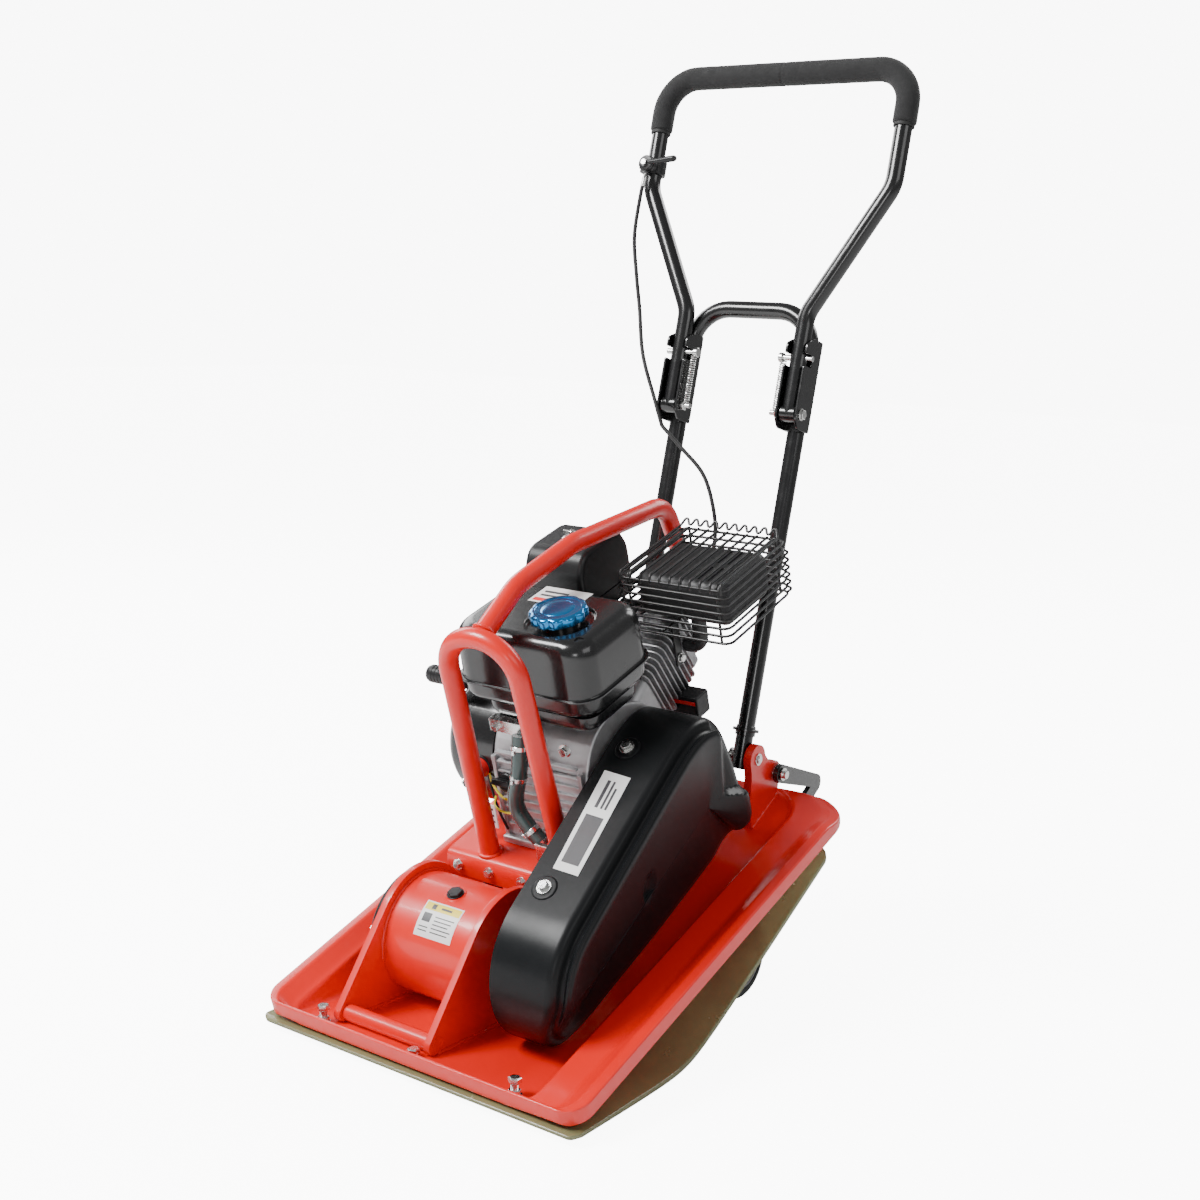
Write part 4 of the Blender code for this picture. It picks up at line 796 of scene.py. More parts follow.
def build_exciter():
    centre = (EXCITER.y, EXCITER.z)
    for tag, (x0, x1) in GUSSETS.items():
        plate = prism(gusset_outline(), x0, x1)
        cut(plate, rod((x0 - 0.01, *centre), (x1 + 0.01, *centre), 0.036, 48))
        bevelled(plate, 0.0011, 2, 50)
        middle = (x0 + x1) / 2
        put(plate, "gusset_plate_" + tag, "red_paint", "chassis", ["exciter_gusset_" + tag])
        race = [(-0.0075, 0.0126), (-0.0070, 0.0122), (0.0070, 0.0122), (0.0075, 0.0126), (0.0075, 0.0178),
                (0.0058, 0.0184), (0.0058, 0.0290), (0.0075, 0.0296), (0.0075, 0.0353), (0.0070, 0.0357),
                (-0.0070, 0.0357), (-0.0075, 0.0353), (-0.0075, 0.0296), (-0.0058, 0.0290),
                (-0.0058, 0.0184),
                (-0.0075, 0.0178)]
        put(hollow((middle, *centre), (1, 0, 0), race, 56), "bearing_" + tag, "steel", "chassis",
            ["exciter_bearing_" + tag])
        for side, x in (("in", x1), ("out", x0)):
            path = [(x, y, deck(y) + 0.0006) for y in [0.040 + 0.0125 * k for k in range(20)]]
            put(bead(path, 0.0030), "weld_gusset_%s_%s" % (tag, side), "red_paint", smooth=60)
    x0, x1 = GUSSETS["left"][1] + 0.0003, GUSSETS["right"][0] - 0.0003
    shell = [(0.0, 0.0725), (x1 - x0, 0.0725), (x1 - x0, 0.080), (0.0, 0.080)]
    housing = hollow((x0, *centre), (1, 0, 0), shell, 96)
    lean = math.radians(92.0)
    out = Vector((0.0, math.cos(lean), math.sin(lean)))
    top = Vector((-0.063, *centre)) + out * 0.080
    cut(housing, rod(top - out * 0.02, top + out * 0.02, 0.0075, 32))
    boss = hollow(top - out * 0.002, out, [(0.0, 0.0078), (0.0026, 0.0078), (0.0028, 0.0130),
                                           (0.0016, 0.0146),
                                           (0.0, 0.0150)], 36)
    put(joined([housing, boss]), "exciter_drum", "red_paint", "chassis", ["exciter_housing"])
    plug = joined([lathe(top, out, [(-0.009, 0.0068), (0.0010, 0.0070)], 24),
                   lathe(top + out * 0.0009, out, [(0, 0.0112), (0.0002, 0.0115), (0.0014, 0.0115),
                                                   (0.0016, 0.0112)], 28),
                   lathe(top + out * 0.0024, out, [(0, 0.0100), (0.0003, 0.0104), (0.0028, 0.0104),
                                                   (0.0036, 0.0092)], 6),
                   lathe(top + out * 0.0055, out, [(0, 0.0060), (0.0006, 0.0056)], 24)])
    put(plug, "oil_plug", "dark_steel", "chassis", ["exciter_oil_plug"])
    for x in (x0, x1):
        ring = [Vector((x, *c)) for c in arc(centre, 0.0806, 14, 176, 90)]
        put(bead(ring, 0.0026), "weld_drum_%d" % (0 if x < -0.07 else 1), "red_paint", smooth=60)
    base = GUSSETS["left"][0] - 0.0003
    face = [(0.011, 0.0005), (0.011, 0.048), (0.0002, 0.0484), (0.0, 0.0806), (0.0004, 0.0810),
            (0.0100, 0.0810),
            (0.0128, 0.0800), (0.0150, 0.0775), (0.0160, 0.0740), (0.0160, 0.0620), (0.0148, 0.0600),
            (0.0148, 0.0420), (0.0160, 0.0400), (0.0160, 0.0005)]
    parts = [lathe((base, *centre), (-1, 0, 0), face, 72)]
    for k in range(6):
        spot = Vector((base - 0.0160, *centre)) + spoke(60 * k + 30)[0] * 0.068
        if deck(spot.y) < spot.z - 0.010:
            parts.append(lathe(spot, (-1, 0, 0), [(-0.002, 0.0072), (0.0006, 0.0070)], 24))
            screws = hex_bolt(spot + Vector((-0.0006, 0, 0)), (-1, 0, 0), 0.0095, 0.0042)
            put(screws, "end_cover_screw_%d" % k, "zinc")
    put(joined(parts), "end_cover", "black_plastic", "chassis", ["exciter_end_cover"])
    tie = rod((x0, 0.043, -0.0026), (x1, 0.043, -0.0026), 0.0108, 40)
    put(tie, "tie_bar", "red_paint", "chassis", ["gusset_tie_rod"])
    end = hollow((GUSSETS["right"][1], 0.043, -0.0026), (1, 0, 0), [(-0.002, 0.0072), (0.0003, 0.0072),
                                                                    (0.0006, 0.0080),
                                                                  (0.0006, 0.0100), (0.0003, 0.0108),
                                                                    (-0.002, 0.0108)], 40)
    put(end, "tie_bar_ring", "red_paint")
    shaft = lathe((-0.150, *centre), (1, 0, 0), [(0, 0.0112), (0.0008, 0.0120), (0.2572, 0.0120),
                                                 (0.258, 0.0112)], 36)
    weight = prism(arc(centre, 0.058, 180, 360, 31), -0.125, -0.015, 0.0015, 2)
    put(joined([shaft, weight]), "eccentric_shaft", "steel", "exciter_rotor", ["exciter_shaft"])
    groove = [(-0.016, 0.0123), (0.016, 0.0123), (0.016, 0.0440), (0.0154, 0.0460), (0.0100, 0.0460),
              (0.0092, 0.0452),
              (0.0052, 0.0352), (-0.0052, 0.0352), (-0.0092, 0.0452), (-0.0100, 0.0460), (-0.0154, 0.0460),
              (-0.016, 0.0440)]
    put(hollow((BELT_X, *centre), (1, 0, 0), groove, 64), "exciter_sheave", "cast_aluminium",
        "exciter_rotor",
        ["exciter_pulley"])


def patch(corners, name, finish, across=8, along=8, lift=0.0003, wrap=None, body="chassis"):
    """A thin sticker: a quad's grid, lifted off the surface it lies on. wrap moves each point onto it."""
    a, b, c, d = (Vector(p) for p in corners)
    top, low = [], []
    for j in range(along + 1):
        for i in range(across + 1):
            u, v = i / across, j / along
            p = a.lerp(b, u).lerp(d.lerp(c, u), v)
            normal = (b - a).cross(d - a).normalized()
            if wrap:
                p, normal = wrap(p)
            top.append(p + normal * lift)
            low.append(p - normal * 0.0004)
    shape = bmesh.new()
    upper = [shape.verts.new(p) for p in top]
    lower = [shape.verts.new(p) for p in low]
    w = across + 1
    for j in range(along):
        for i in range(across):
            k = j * w + i
            shape.faces.new((upper[k], upper[k + 1], upper[k + w + 1], upper[k + w]))
            shape.faces.new((lower[k], lower[k + w], lower[k + w + 1], lower[k + 1]))
    edge = list(range(across)) + [across + j * w for j in range(along)]
    edge += [along * w + across - i for i in range(across)] + [(along - j) * w for j in range(along)]
    for k, m in zip(edge, edge[1:] + edge[:1]):
        shape.faces.new((upper[k], lower[k], lower[m], upper[m]))
    bmesh.ops.recalc_face_normals(shape, faces=shape.faces)
    return put(from_bmesh(shape), name, finish, body)


def on_drum(p):
    out = Vector((0.0, p.y - EXCITER.y, p.z - EXCITER.z)).normalized()
    return Vector((p.x, EXCITER.y, EXCITER.z)) + out * 0.0801, out


def build_exciter_label():
    def corner(x, degrees):
        a = math.radians(degrees)
        return (x, EXCITER.y + 0.08 * math.cos(a), EXCITER.z + 0.08 * math.sin(a))

    def sticker(name, finish, x0, x1, low, high, lift):
        patch([corner(x0, low), corner(x1, low), corner(x1, high), corner(x0, high)], name, finish, 6, 24,
              lift, on_drum)

    sticker("drum_label", "label_white", -0.0925, -0.0320, 141, 106.5, 0.0003)
    sticker("drum_label_head", "label_yellow", -0.0905, -0.0340, 115.5, 108, 0.0005)
    sticker("drum_label_sign", "label_grey", -0.0800, -0.0735, 114.2, 109.3, 0.0007)
    sticker("drum_label_title", "label_grey", -0.0650, -0.0480, 112.8, 110.8, 0.0007)
    sticker("drum_label_mark", "label_grey", -0.0870, -0.0740, 127, 118.5, 0.0005)
    for k in range(5):
        sticker("drum_label_line_%d" % k, "label_grey", -0.0680, -0.0370 - 0.003 * (k % 3), 121.2 + 3.6 * k,
                120.2 + 3.6 * k, 0.0005)
    for k in range(2):
        sticker("drum_label_note_%d" % k, "label_grey", -0.0880, -0.0735, 132.4 + 3.4 * k, 131.4 + 3.4 * k,
                0.0005)


# ---- belt ----------------------------------------------------------------------------------------------
def build_belt():
    low, high = Vector((EXCITER.y, EXCITER.z)), Vector((CRANK.y, CRANK.z))
    span = high - low
    heading = math.atan2(span.y, span.x)
    lean = math.asin((0.045 - 0.036) / span.length)
    spots = []
    for k in range(25):
        spots.append((low, heading + math.pi / 2 + lean + (math.pi - 2 * lean) * k / 24, 0.036))
    for k in range(25):
        spots.append((high, heading - math.pi / 2 - lean + (math.pi + 2 * lean) * k / 24, 0.045))
    rings = []
    for centre, a, radius in spots:
        out = Vector((math.cos(a), math.sin(a)))
        loop = soft_loop([(-0.0040, 0.0008, 0), (0.0040, 0.0008, 0), (0.0052, 0.0085, 0), (-0.0052, 0.0085,
                                                                                           0)], 0.0009, 2)
        rings.append([Vector((BELT_X + p.x, *(centre + out * (radius + p.y)))) for p in loop])
    put(skin(rings, closed=True), "belt", "rubber", "chassis", ["v_belt"])


# ---- belt cover -------------------------------------------------------------------------------------------
CORE_A, CORE_B = Vector((0.20, 0.035)), Vector((0.47, 0.115))
COVER_UP = Vector((0.0, -0.363, 0.932))


def cover_outline(count):
    corners = arc((0.199, 0.040), 0.105, 235, 116, 8)
    corners += [(0.225, 0.163), (0.325, 0.202), (0.425, 0.241), (0.470, 0.247), (0.508, 0.234),
                (0.538, 0.200),
                (0.555, 0.150), (0.567, 0.090), (0.575, 0.045), (0.570, 0.016), (0.553, 0.003),
                (0.532, -0.004),
                (0.512, -0.013), (0.460, -0.021), (0.360, -0.034), (0.260, -0.043), (0.190, -0.050)]
    reach = [0.016] * 8 + [0.012, 0.004, 0.020, 0.022, 0.026, 0.026, 0.026, 0.024, 0.020, 0.018, 0.012,
                           0.007, 0.007,
                           0.02, 0.02, 0.02, 0.02]
    return resample(soft_loop([(y, z, 0) for y, z in corners], reach, 6), count, loop=True)


TOP_LINE = ((0.062, 0.0), (0.090, 0.0), (0.120, 0.0), (0.1440, 0.0002), (0.1490, 0.0010), (0.1526, 0.0030),
            (0.1548, 0.0062), (0.1558, 0.0104), (0.1568, 0.0144), (0.1586, 0.0168), (0.1612, 0.0176),
            (0.1636, 0.0166),
            (0.1652, 0.0146), (0.1668, 0.0136), (0.1682, 0.0142), (0.1689, 0.0158), (0.1691, 0.0174),
            (0.1697, 0.0186),
            (0.1705, 0.0204), (0.1706, 0.0240), (0.1700, 0.0290))
LOW_LINE = ((0.062, 0.0), (0.080, 0.0), (0.095, 0.0002), (0.1060, 0.0006), (0.1120, 0.0016),
            (0.1160, 0.0032),
            (0.1186, 0.0056), (0.1198, 0.0084), (0.1208, 0.0112), (0.1220, 0.0134), (0.1238, 0.0150),
            (0.1256, 0.0158),
            (0.1270, 0.0166), (0.1282, 0.0178), (0.1290, 0.0194), (0.1296, 0.0212), (0.1302, 0.0230),
            (0.1308, 0.0246),
            (0.1316, 0.0262), (0.1326, 0.0284), (0.1338, 0.0316))


def eased(t):
    t = max(0.0, min(1.0, t))
    return t * t * (3 - 2 * t)


def pressed(p):
    """The cover's side with its oval dish and the step above the rear ledge."""
    dish = math.hypot((p.y - 0.320) / 0.0160, (p.z - 0.0865) / 0.0290)
    back = eased((p.y - 0.498) / 0.022) * eased((p.z - 0.122 + 0.42 * (p.y - 0.487)) / 0.008)
    back *= eased((p.x - 0.142) / 0.014)
    return Vector((p.x - 0.0052 * eased((1 - dish) / 0.55) - 0.0125 * back, p.y, p.z))


def core_spot(p):
    along = max(0.0, min(1.0, (p - CORE_A).dot(CORE_B - CORE_A) / (CORE_B - CORE_A).length_squared))
    return CORE_A + (CORE_B - CORE_A) * along


def build_cover():
    count = 320
    line = [Vector((p.x, p.y)) for p in cover_outline(count)]
    normals = []
    for i in range(count):
        t = (line[(i + 2) % count] - line[i - 2]).normalized()
        normals.append(Vector((-t.y, t.x)))
    weights = []
    for i in range(count):
        w = (normals[i].y + 0.62) / 0.75
        if line[i].x > 0.50 and line[i].y > 0.03:
            w = max(w, 0.9)
        weights.append(max(0.0, min(1.0, w)))
    for _ in range(24):
        weights = [(weights[i - 1] + weights[i] + weights[(i + 1) % count]) / 3 for i in range(count)]
    rings = []
    for (tx, ti), (lx, li) in zip(TOP_LINE, LOW_LINE):
        ring = []
        for p, n, w in zip(line, normals, weights):
            x, inset = lx + (tx - lx) * w, li + (ti - li) * w
            q = p - n * inset
            ring.append(Vector((x, q.x, q.y)))
        rings.append(ring)
    for k in range(1, 33):
        f = k / 32 * 0.985
        ring = []
        for p in rings[len(TOP_LINE) - 1]:
            core = core_spot(Vector((p.y, p.z)))
            x = 0.1525 + 0.10 * (core.y - 0.075)
            ring.append(p.lerp(Vector((x, core.x, core.y)), f))
        rings.append(ring)
    rings = [[pressed(p) for p in ring] for ring in rings]
    shell = skin(rings, caps=False)
    shape = bmesh.new()
    shape.from_mesh(shell.data)
    shape.verts.ensure_lookup_table()
    last = [shape.verts[i] for i in range(len(shape.verts) - count, len(shape.verts))]
    shape.faces.new(last)
    bmesh.ops.recalc_face_normals(shape, faces=shape.faces)
    if sum(f.normal.x * f.calc_area() for f in shape.faces) < 0:
        bmesh.ops.reverse_faces(shape, faces=shape.faces)
    shape.to_mesh(shell.data)
    shape.free()
    thick = shell.modifiers.new("thick", "SOLIDIFY")
    thick.thickness = 0.0030
    thick.offset = -1.0
    thick.use_rim = True
    baked(shell)
    put(shell, "drive_cover", "cover_plastic", "chassis", ["belt_cover"], 38)
    for tag, seat in (("front", (0.0915, 0.196, 0.1514)), ("rear", (0.091, 0.402, 0.2322))):
        seat = Vector(seat)
        up = Vector((0.0, -0.377, 0.926)) if tag == "front" else COVER_UP
        pad = lathe(seat, up, [(-0.004, 0.0180), (0.0006, 0.0172), (0.0016, 0.0160), (0.0018, 0.0150)], 40)
        put(pad, "cover_pad_" + tag, "cover_plastic")
        bolt = hex_bolt(seat + up * 0.0018, up, 0.0130, 0.0052, 0.0100)
        put(bolt, "cover_screw_" + tag, "zinc", "chassis", ["cover_bolt_" + tag])
    low_screw = hex_bolt((0.1225, 0.566, 0.030), (0.85, 0.45, -0.1), 0.011, 0.005, 0.009)
    put(low_screw, "cover_screw_low", "zinc")
    slope = 0.39

    def on_top(p):
        n = Vector((0, -slope, 1)).normalized()
        return Vector((p.x, p.y, 0.163 + slope * (p.y - 0.225))), n

    label = [(0.0868, 0.2226, 0.162), (0.1253, 0.2214, 0.1616), (0.1192, 0.3626, 0.2167), (0.0776, 0.3652,
                                                                                           0.2177)]
    patch(label, "cover_label", "label_white", 4, 16, 0.0004, on_top)
    a, b, c, d = (Vector(p) for p in label)

    def at(u, v):
        return a.lerp(b, u).lerp(d.lerp(c, u), v)

    for k, (u0, u1, v0, v1) in enumerate(((0.16, 0.84, 0.08, 0.56), (0.30, 0.42, 0.64, 0.92),
                                          (0.52, 0.60, 0.64, 0.92),
                                          (0.68, 0.76, 0.64, 0.86))):
        patch([at(u0, v0), at(u1, v0), at(u1, v1), at(u0, v1)], "cover_label_bar_%d" % k, "label_grey", 2,
              8, 0.0006,
              on_top)
    start, end = Vector((0.1600, 0.492, 0.1185)), Vector((0.1500, 0.550, 0.0900))
    for k in range(3):
        drop = Vector((-0.0012, 0.0, -0.0052)) * k
        path = [start + drop, start.lerp(end, 0.5) + drop + Vector((0.0008, 0, 0)), end + drop]
        put(tube(spline(path, 10), 0.0019, 12), "cover_ridge_%d" % k, "cover_plastic")


# ---- bed, mounts and lifting frame -----------------------------------------------------------------
BED_X = (-0.165, 0.056)


def build_bed():
    low = BED_TOP - BED_THICK
    front, rear = 0.300, 0.604
    line = [(front - 0.006, 0.040), (front, 0.036), (front + 0.008, low), (rear, low), (rear, BED_TOP),
            (front + 0.002, BED_TOP), (front - 0.005, BED_TOP - 0.010)]
    bed = prism(soft_outline(line, [0.002, 0.002, 0.006, 0.001, 0.001, 0.009, 0.009], 5), *BED_X)
    tongue = [(MID_X - 0.040, rear - 0.010), (MID_X + 0.040, rear - 0.010), (MID_X + 0.040, 0.722),
              (MID_X - 0.040, 0.722)]
    fuse(bed, slab(round_outline(tongue, [0.001, 0.001, 0.014, 0.014], 6), low, BED_TOP))
    hole = round_outline([(-0.075, 0.400), (0.020, 0.400), (0.020, 0.520), (-0.075, 0.520)], 0.010, 5)
    cut(bed, slab(hole, 0.05, 0.09))
    put(bevelled(bed, 0.0010, 2, 50), "bed_plate", "red_paint", "chassis", ["engine_bed"])
    spots = {"front_left": (-0.138, 0.345), "front_right": (0.030, 0.345),
             "rear_left": (-0.138, 0.572), "rear_right": (0.030, 0.572)}
    for tag, (x, y) in spots.items():
        foot = deck(y + 0.020) + 0.0012
        tall = low - foot - 0.0003
        barrel = [(0.0028, 0.0150), (0.0040, 0.0142)]
        for k in range(1, 8):
            f = k / 8
            barrel.append((0.0040 + (tall - 0.0080) * f, 0.0136 - 0.0012 * math.sin(math.pi * f)))
        barrel += [(tall - 0.0040, 0.0142), (tall - 0.0028, 0.0150)]
        put(lathe((x, y, foot), (0, 0, 1), barrel, 44), "mount_rubber_" + tag, "rubber", "chassis",
            ["rubber_mount_" + tag])
        plates = [lathe((x, y, foot + h), (0, 0, 1), [(0, 0.0172), (0.0003, 0.0178), (0.0024, 0.0178),
                                                      (0.0027, 0.0172)],
                        40) for h in (0.0, tall - 0.0027)]
        put(joined(plates), "mount_plates_" + tag, "zinc")
        put(nut((x, y, BED_TOP), (0, 0, 1), 0.013, 0.0062, 0.005), "mount_nut_" + tag, "zinc")
    for k, (x, y) in enumerate(((-0.090, 0.372), (0.044, 0.372), (-0.090, 0.560), (0.044, 0.560))):
        tall = 0.0102 if y > 0.5 else 0.0
        put(hex_bolt((x, y, BED_TOP + tall), (0, 0, 1), 0.012, 0.0058, 0.0098, 0.006),
            "engine_screw_%d" % k, "zinc")
    for k, x in enumerate((-0.145, -0.092, -0.036, 0.046)):
        put(hex_bolt((x, 0.2945, 0.058), (0, -0.97, 0.24), 0.010, 0.0045, 0.0082), "apron_screw_%d" % k,
            "zinc")


def build_lifting_frame():
    foot = BED_TOP + 0.0006
    hoop = fillet([(MID_X - 0.064, 0.318, foot), (MID_X - 0.0555, 0.302, 0.420), (MID_X + 0.0555, 0.302,
                                                                                  0.420),
                   (MID_X + 0.064, 0.318, foot)], 0.0545, 14)
    spine = fillet([(MID_X, 0.303, 0.4140), (MID_X, 0.395, 0.4500), (MID_X, 0.520, 0.4530), (MID_X, 0.742,
                                                                                             0.4180),
                    (MID_X, 0.768, 0.330), (MID_X, 0.700, foot)], [0.09, 0.12, 0.045, 0.10], 12)
    frame = joined([tube(resample(hoop, 120), FRAME_RADIUS, 36), tube(resample(spine, 160), FRAME_RADIUS,
                                                                      36)])
    put(frame, "lifting_hoop", "red_paint", "chassis", ["lifting_frame"])
    angles = [2 * math.pi * k / 60 for k in range(61)]
    seam = [Vector((MID_X + 0.0150 * math.cos(a), 0.3155 + 0.0030 * math.cos(2 * a),
                    0.4190 + 0.0145 * math.sin(a)))
            for a in angles]
    put(bead(seam, 0.0024), "weld_spine", "red_paint", smooth=60)
    feet = {"left": (MID_X - 0.064, 0.318), "right": (MID_X + 0.064, 0.318), "rear": (MID_X, 0.700)}
    for tag, (x, y) in feet.items():
        ring = [Vector((x + 0.0148 * math.cos(a), y + 0.0148 * math.sin(a),
                        BED_TOP + 0.0008)) for a in angles]
        put(bead(ring, 0.0028), "weld_foot_" + tag, "red_paint", smooth=60)


# ---- engine ---------------------------------------------------------------------------------------------
ENGINE_X = (-0.100, 0.055)


def cylinder_plate(reach, thick, half, x0, x1, corner, soft=0.0009):
    """A fin: a rounded plate square to the cylinder's axis."""
    a = along_cylinder(reach)
    axis = (along_cylinder(1.0) - along_cylinder(0.0)).normalized()
    across = (along_cylinder(0, 1.0) - along_cylinder(0, 0)).normalized()
    outline = round_outline([(x0, -half), (x1, -half), (x1, half), (x0, half)], corner, 5)
    made = skin([[Vector((x, a.y, a.z)) + across * v + axis * h for x, v in outline] for h in (0.0, thick)])
    return bevelled(made, soft, 2) if soft else made


def build_engine():
    foot = BED_TOP + 0.0003
    line = [(0.352, foot), (0.575, foot), (0.575, foot + 0.010), (0.535, 0.112), (0.530, 0.200),
            (0.500, 0.245),
            (0.440, 0.268), (0.380, 0.255), (0.352, 0.205)]
    outline = soft_outline(line, [0.004, 0.004, 0.003, 0.02, 0.03, 0.03, 0.03, 0.03, 0.03], 5)
    block = prism(outline, *ENGINE_X, soft=0.004)
    cut(block, rod((-0.11, CRANK.y, CRANK.z), (0.07, CRANK.y, CRANK.z), 0.0133, 32))
    parts = [block]
    for k in range(9):
        z = 0.104 + 0.0140 * k
        parts.append(box((ENGINE_X[0] + 0.010, 0.3485, z), (ENGINE_X[1] - 0.012, 0.356, z + 0.0036),
                         0.0012, 2))
    for x in (-0.094, -0.022, 0.047):
        parts.append(box((x - 0.0035, 0.3475, foot + 0.004), (x + 0.0035, 0.356, 0.212), 0.0014, 2))
    parts.append(box((ENGINE_X[0] - 0.0004, 0.3430, foot + 0.0002), (ENGINE_X[1], 0.365, foot + 0.0115),
                     0.003, 3))
    parts.append(cylinder_plate(0.020, 0.082, 0.045, -0.063, 0.051, 0.012, 0.003))
    put(joined(parts), "crankcase", "cast_aluminium", "chassis", ["engine_block"])
    fins = [cylinder_plate(0.100, 0.091, 0.040, -0.058, 0.044, 0.020, 0.002)]
    for k in range(9):
        fins.append(cylinder_plate(0.1015 + k * 0.0098, 0.0026, 0.054, -0.068, 0.054, 0.012, 0.0007))
    put(joined(fins), "cylinder_barrel", "fin_aluminium")
    head = [cylinder_plate(0.1903, 0.0145, 0.050, -0.064, 0.050, 0.012, 0.002)]
    for k in range(3):
        head.append(cylinder_plate(0.2065 + 0.0085 * k, 0.0026, 0.046, -0.060, 0.046, 0.014, 0.0007))
    head.append(cylinder_plate(0.204, 0.020, 0.034, -0.052, 0.038, 0.012, 0.002))
    put(joined(head), "head_casting", "fin_aluminium", "chassis", ["cylinder_head"])
    cover = [cylinder_plate(0.2240, 0.0120, 0.031, -0.050, 0.036, 0.014, 0.0045)]
    put(joined(cover), "rocker_cover", "wire_paint")
    axis = (along_cylinder(1.0) - along_cylinder(0.0)).normalized()
    across = (along_cylinder(0, 1.0) - along_cylinder(0, 0)).normalized()
    for k, (x, v) in enumerate(((-0.043, -0.024), (0.029, -0.024), (-0.043, 0.024), (0.029, 0.024))):
        seat = along_cylinder(0.2358, 0.0, x) + across * v
        put(hex_bolt(seat, axis, 0.008, 0.004, 0.006), "rocker_screw_%d" % k, "zinc")
    start = along_cylinder(0.2365)
    cap = lathe(start, axis, [(0.0, 0.0072), (0.0006, 0.0080), (0.0090, 0.0080), (0.0100, 0.0100),
                              (0.0112, 0.0110),
                              (0.0150, 0.0110), (0.0156, 0.0102), (0.0166, 0.0102), (0.0172, 0.0110),
                              (0.0280, 0.0110),
                              (0.0310, 0.0100), (0.0328, 0.0076)], 32)
    put(cap, "plug_boot", "rubber", "chassis", ["spark_plug_cap"])
    lead = [start + axis * 0.026, start + axis * 0.036 + across * 0.004, along_cylinder(0.262, 0.050,
                                                                                        -0.030),
            along_cylinder(0.215, 0.062, -0.066), along_cylinder(0.170, 0.062, -0.090),
            along_cylinder(0.140, 0.060, -0.101)]
    put(tube(spline(lead, 10), 0.0034, 16), "spark_lead", "rubber")


def build_crank_train():
    bore = (CRANK.y, CRANK.z)
    shaft = lathe((-0.163, *bore), (1, 0, 0), [(0, 0.0115), (0.001, 0.0125), (0.280, 0.0125),
                                               (0.281, 0.0115)], 36)
    web = prism(arc(bore, 0.044, 195, 345, 21), -0.030, 0.010, 0.001, 2)
    hub = lathe((0.060, *bore), (1, 0, 0), [(0.0, 0.029), (0.001, 0.030), (0.013, 0.030), (0.014, 0.029)],
                48)
    put(joined([shaft, web, hub]), "crank_forging", "steel", "crank", ["crankshaft"])
    drum = [(-0.013, 0.0129), (0.016, 0.0129), (0.016, 0.053), (0.0154, 0.055), (0.0100, 0.055),
            (0.0092, 0.0542),
            (0.0052, 0.0442), (-0.0052, 0.0442), (-0.0092, 0.0542), (-0.0100, 0.055), (-0.0124, 0.055),
            (-0.013, 0.053)]
    put(hollow((BELT_X, *bore), (1, 0, 0), drum, 64), "clutch_bell", "steel", "clutch", ["clutch_drum"])
    wheel = [(0.0, 0.0128), (0.034, 0.0128), (0.034, 0.040), (0.012, 0.050), (0.012, 0.0585),
             (0.030, 0.060),
             (0.034, 0.061), (0.034, 0.081), (0.033, 0.082), (0.0, 0.082)]
    parts = [hollow((-0.110, *bore), (-1, 0, 0), wheel, 72)]
    for k in range(18):
        out, side = spoke(20 * k)
        middle = Vector((-0.1335, *bore)) + out * 0.0555
        parts.append(oriented_box(middle, (X_AXIS, out, side), (0.0090, 0.0115, 0.0009), 0.0004, 1))
    put(joined(parts), "fan_flywheel", "cast_aluminium", "crank", ["flywheel"])
    reel = [(0.0, 0.0116), (0.012, 0.0116), (0.012, 0.0595), (0.0115, 0.060), (0.009, 0.060),
            (0.0072, 0.056),
            (0.0048, 0.056), (0.003, 0.060), (0.0005, 0.060), (0.0, 0.0595)]
    put(hollow((-0.1706, *bore), (-1, 0, 0), reel, 56), "rope_reel", "black_plastic", "reel",
        ["starter_reel"])


def shroud_outline(scale):
    outline = arc((CRANK.y, CRANK.z), scale * 0.094, 100, 304, 40)
    for reach, across in ((0.110, -0.062), (0.150, -0.060), (0.145, 0.055), (0.090, 0.074)):
        p = along_cylinder(reach * (0.5 + scale / 2), across * scale)
        outline.append((p.y, p.z))
    return outline


NECK_ANGLE = 112


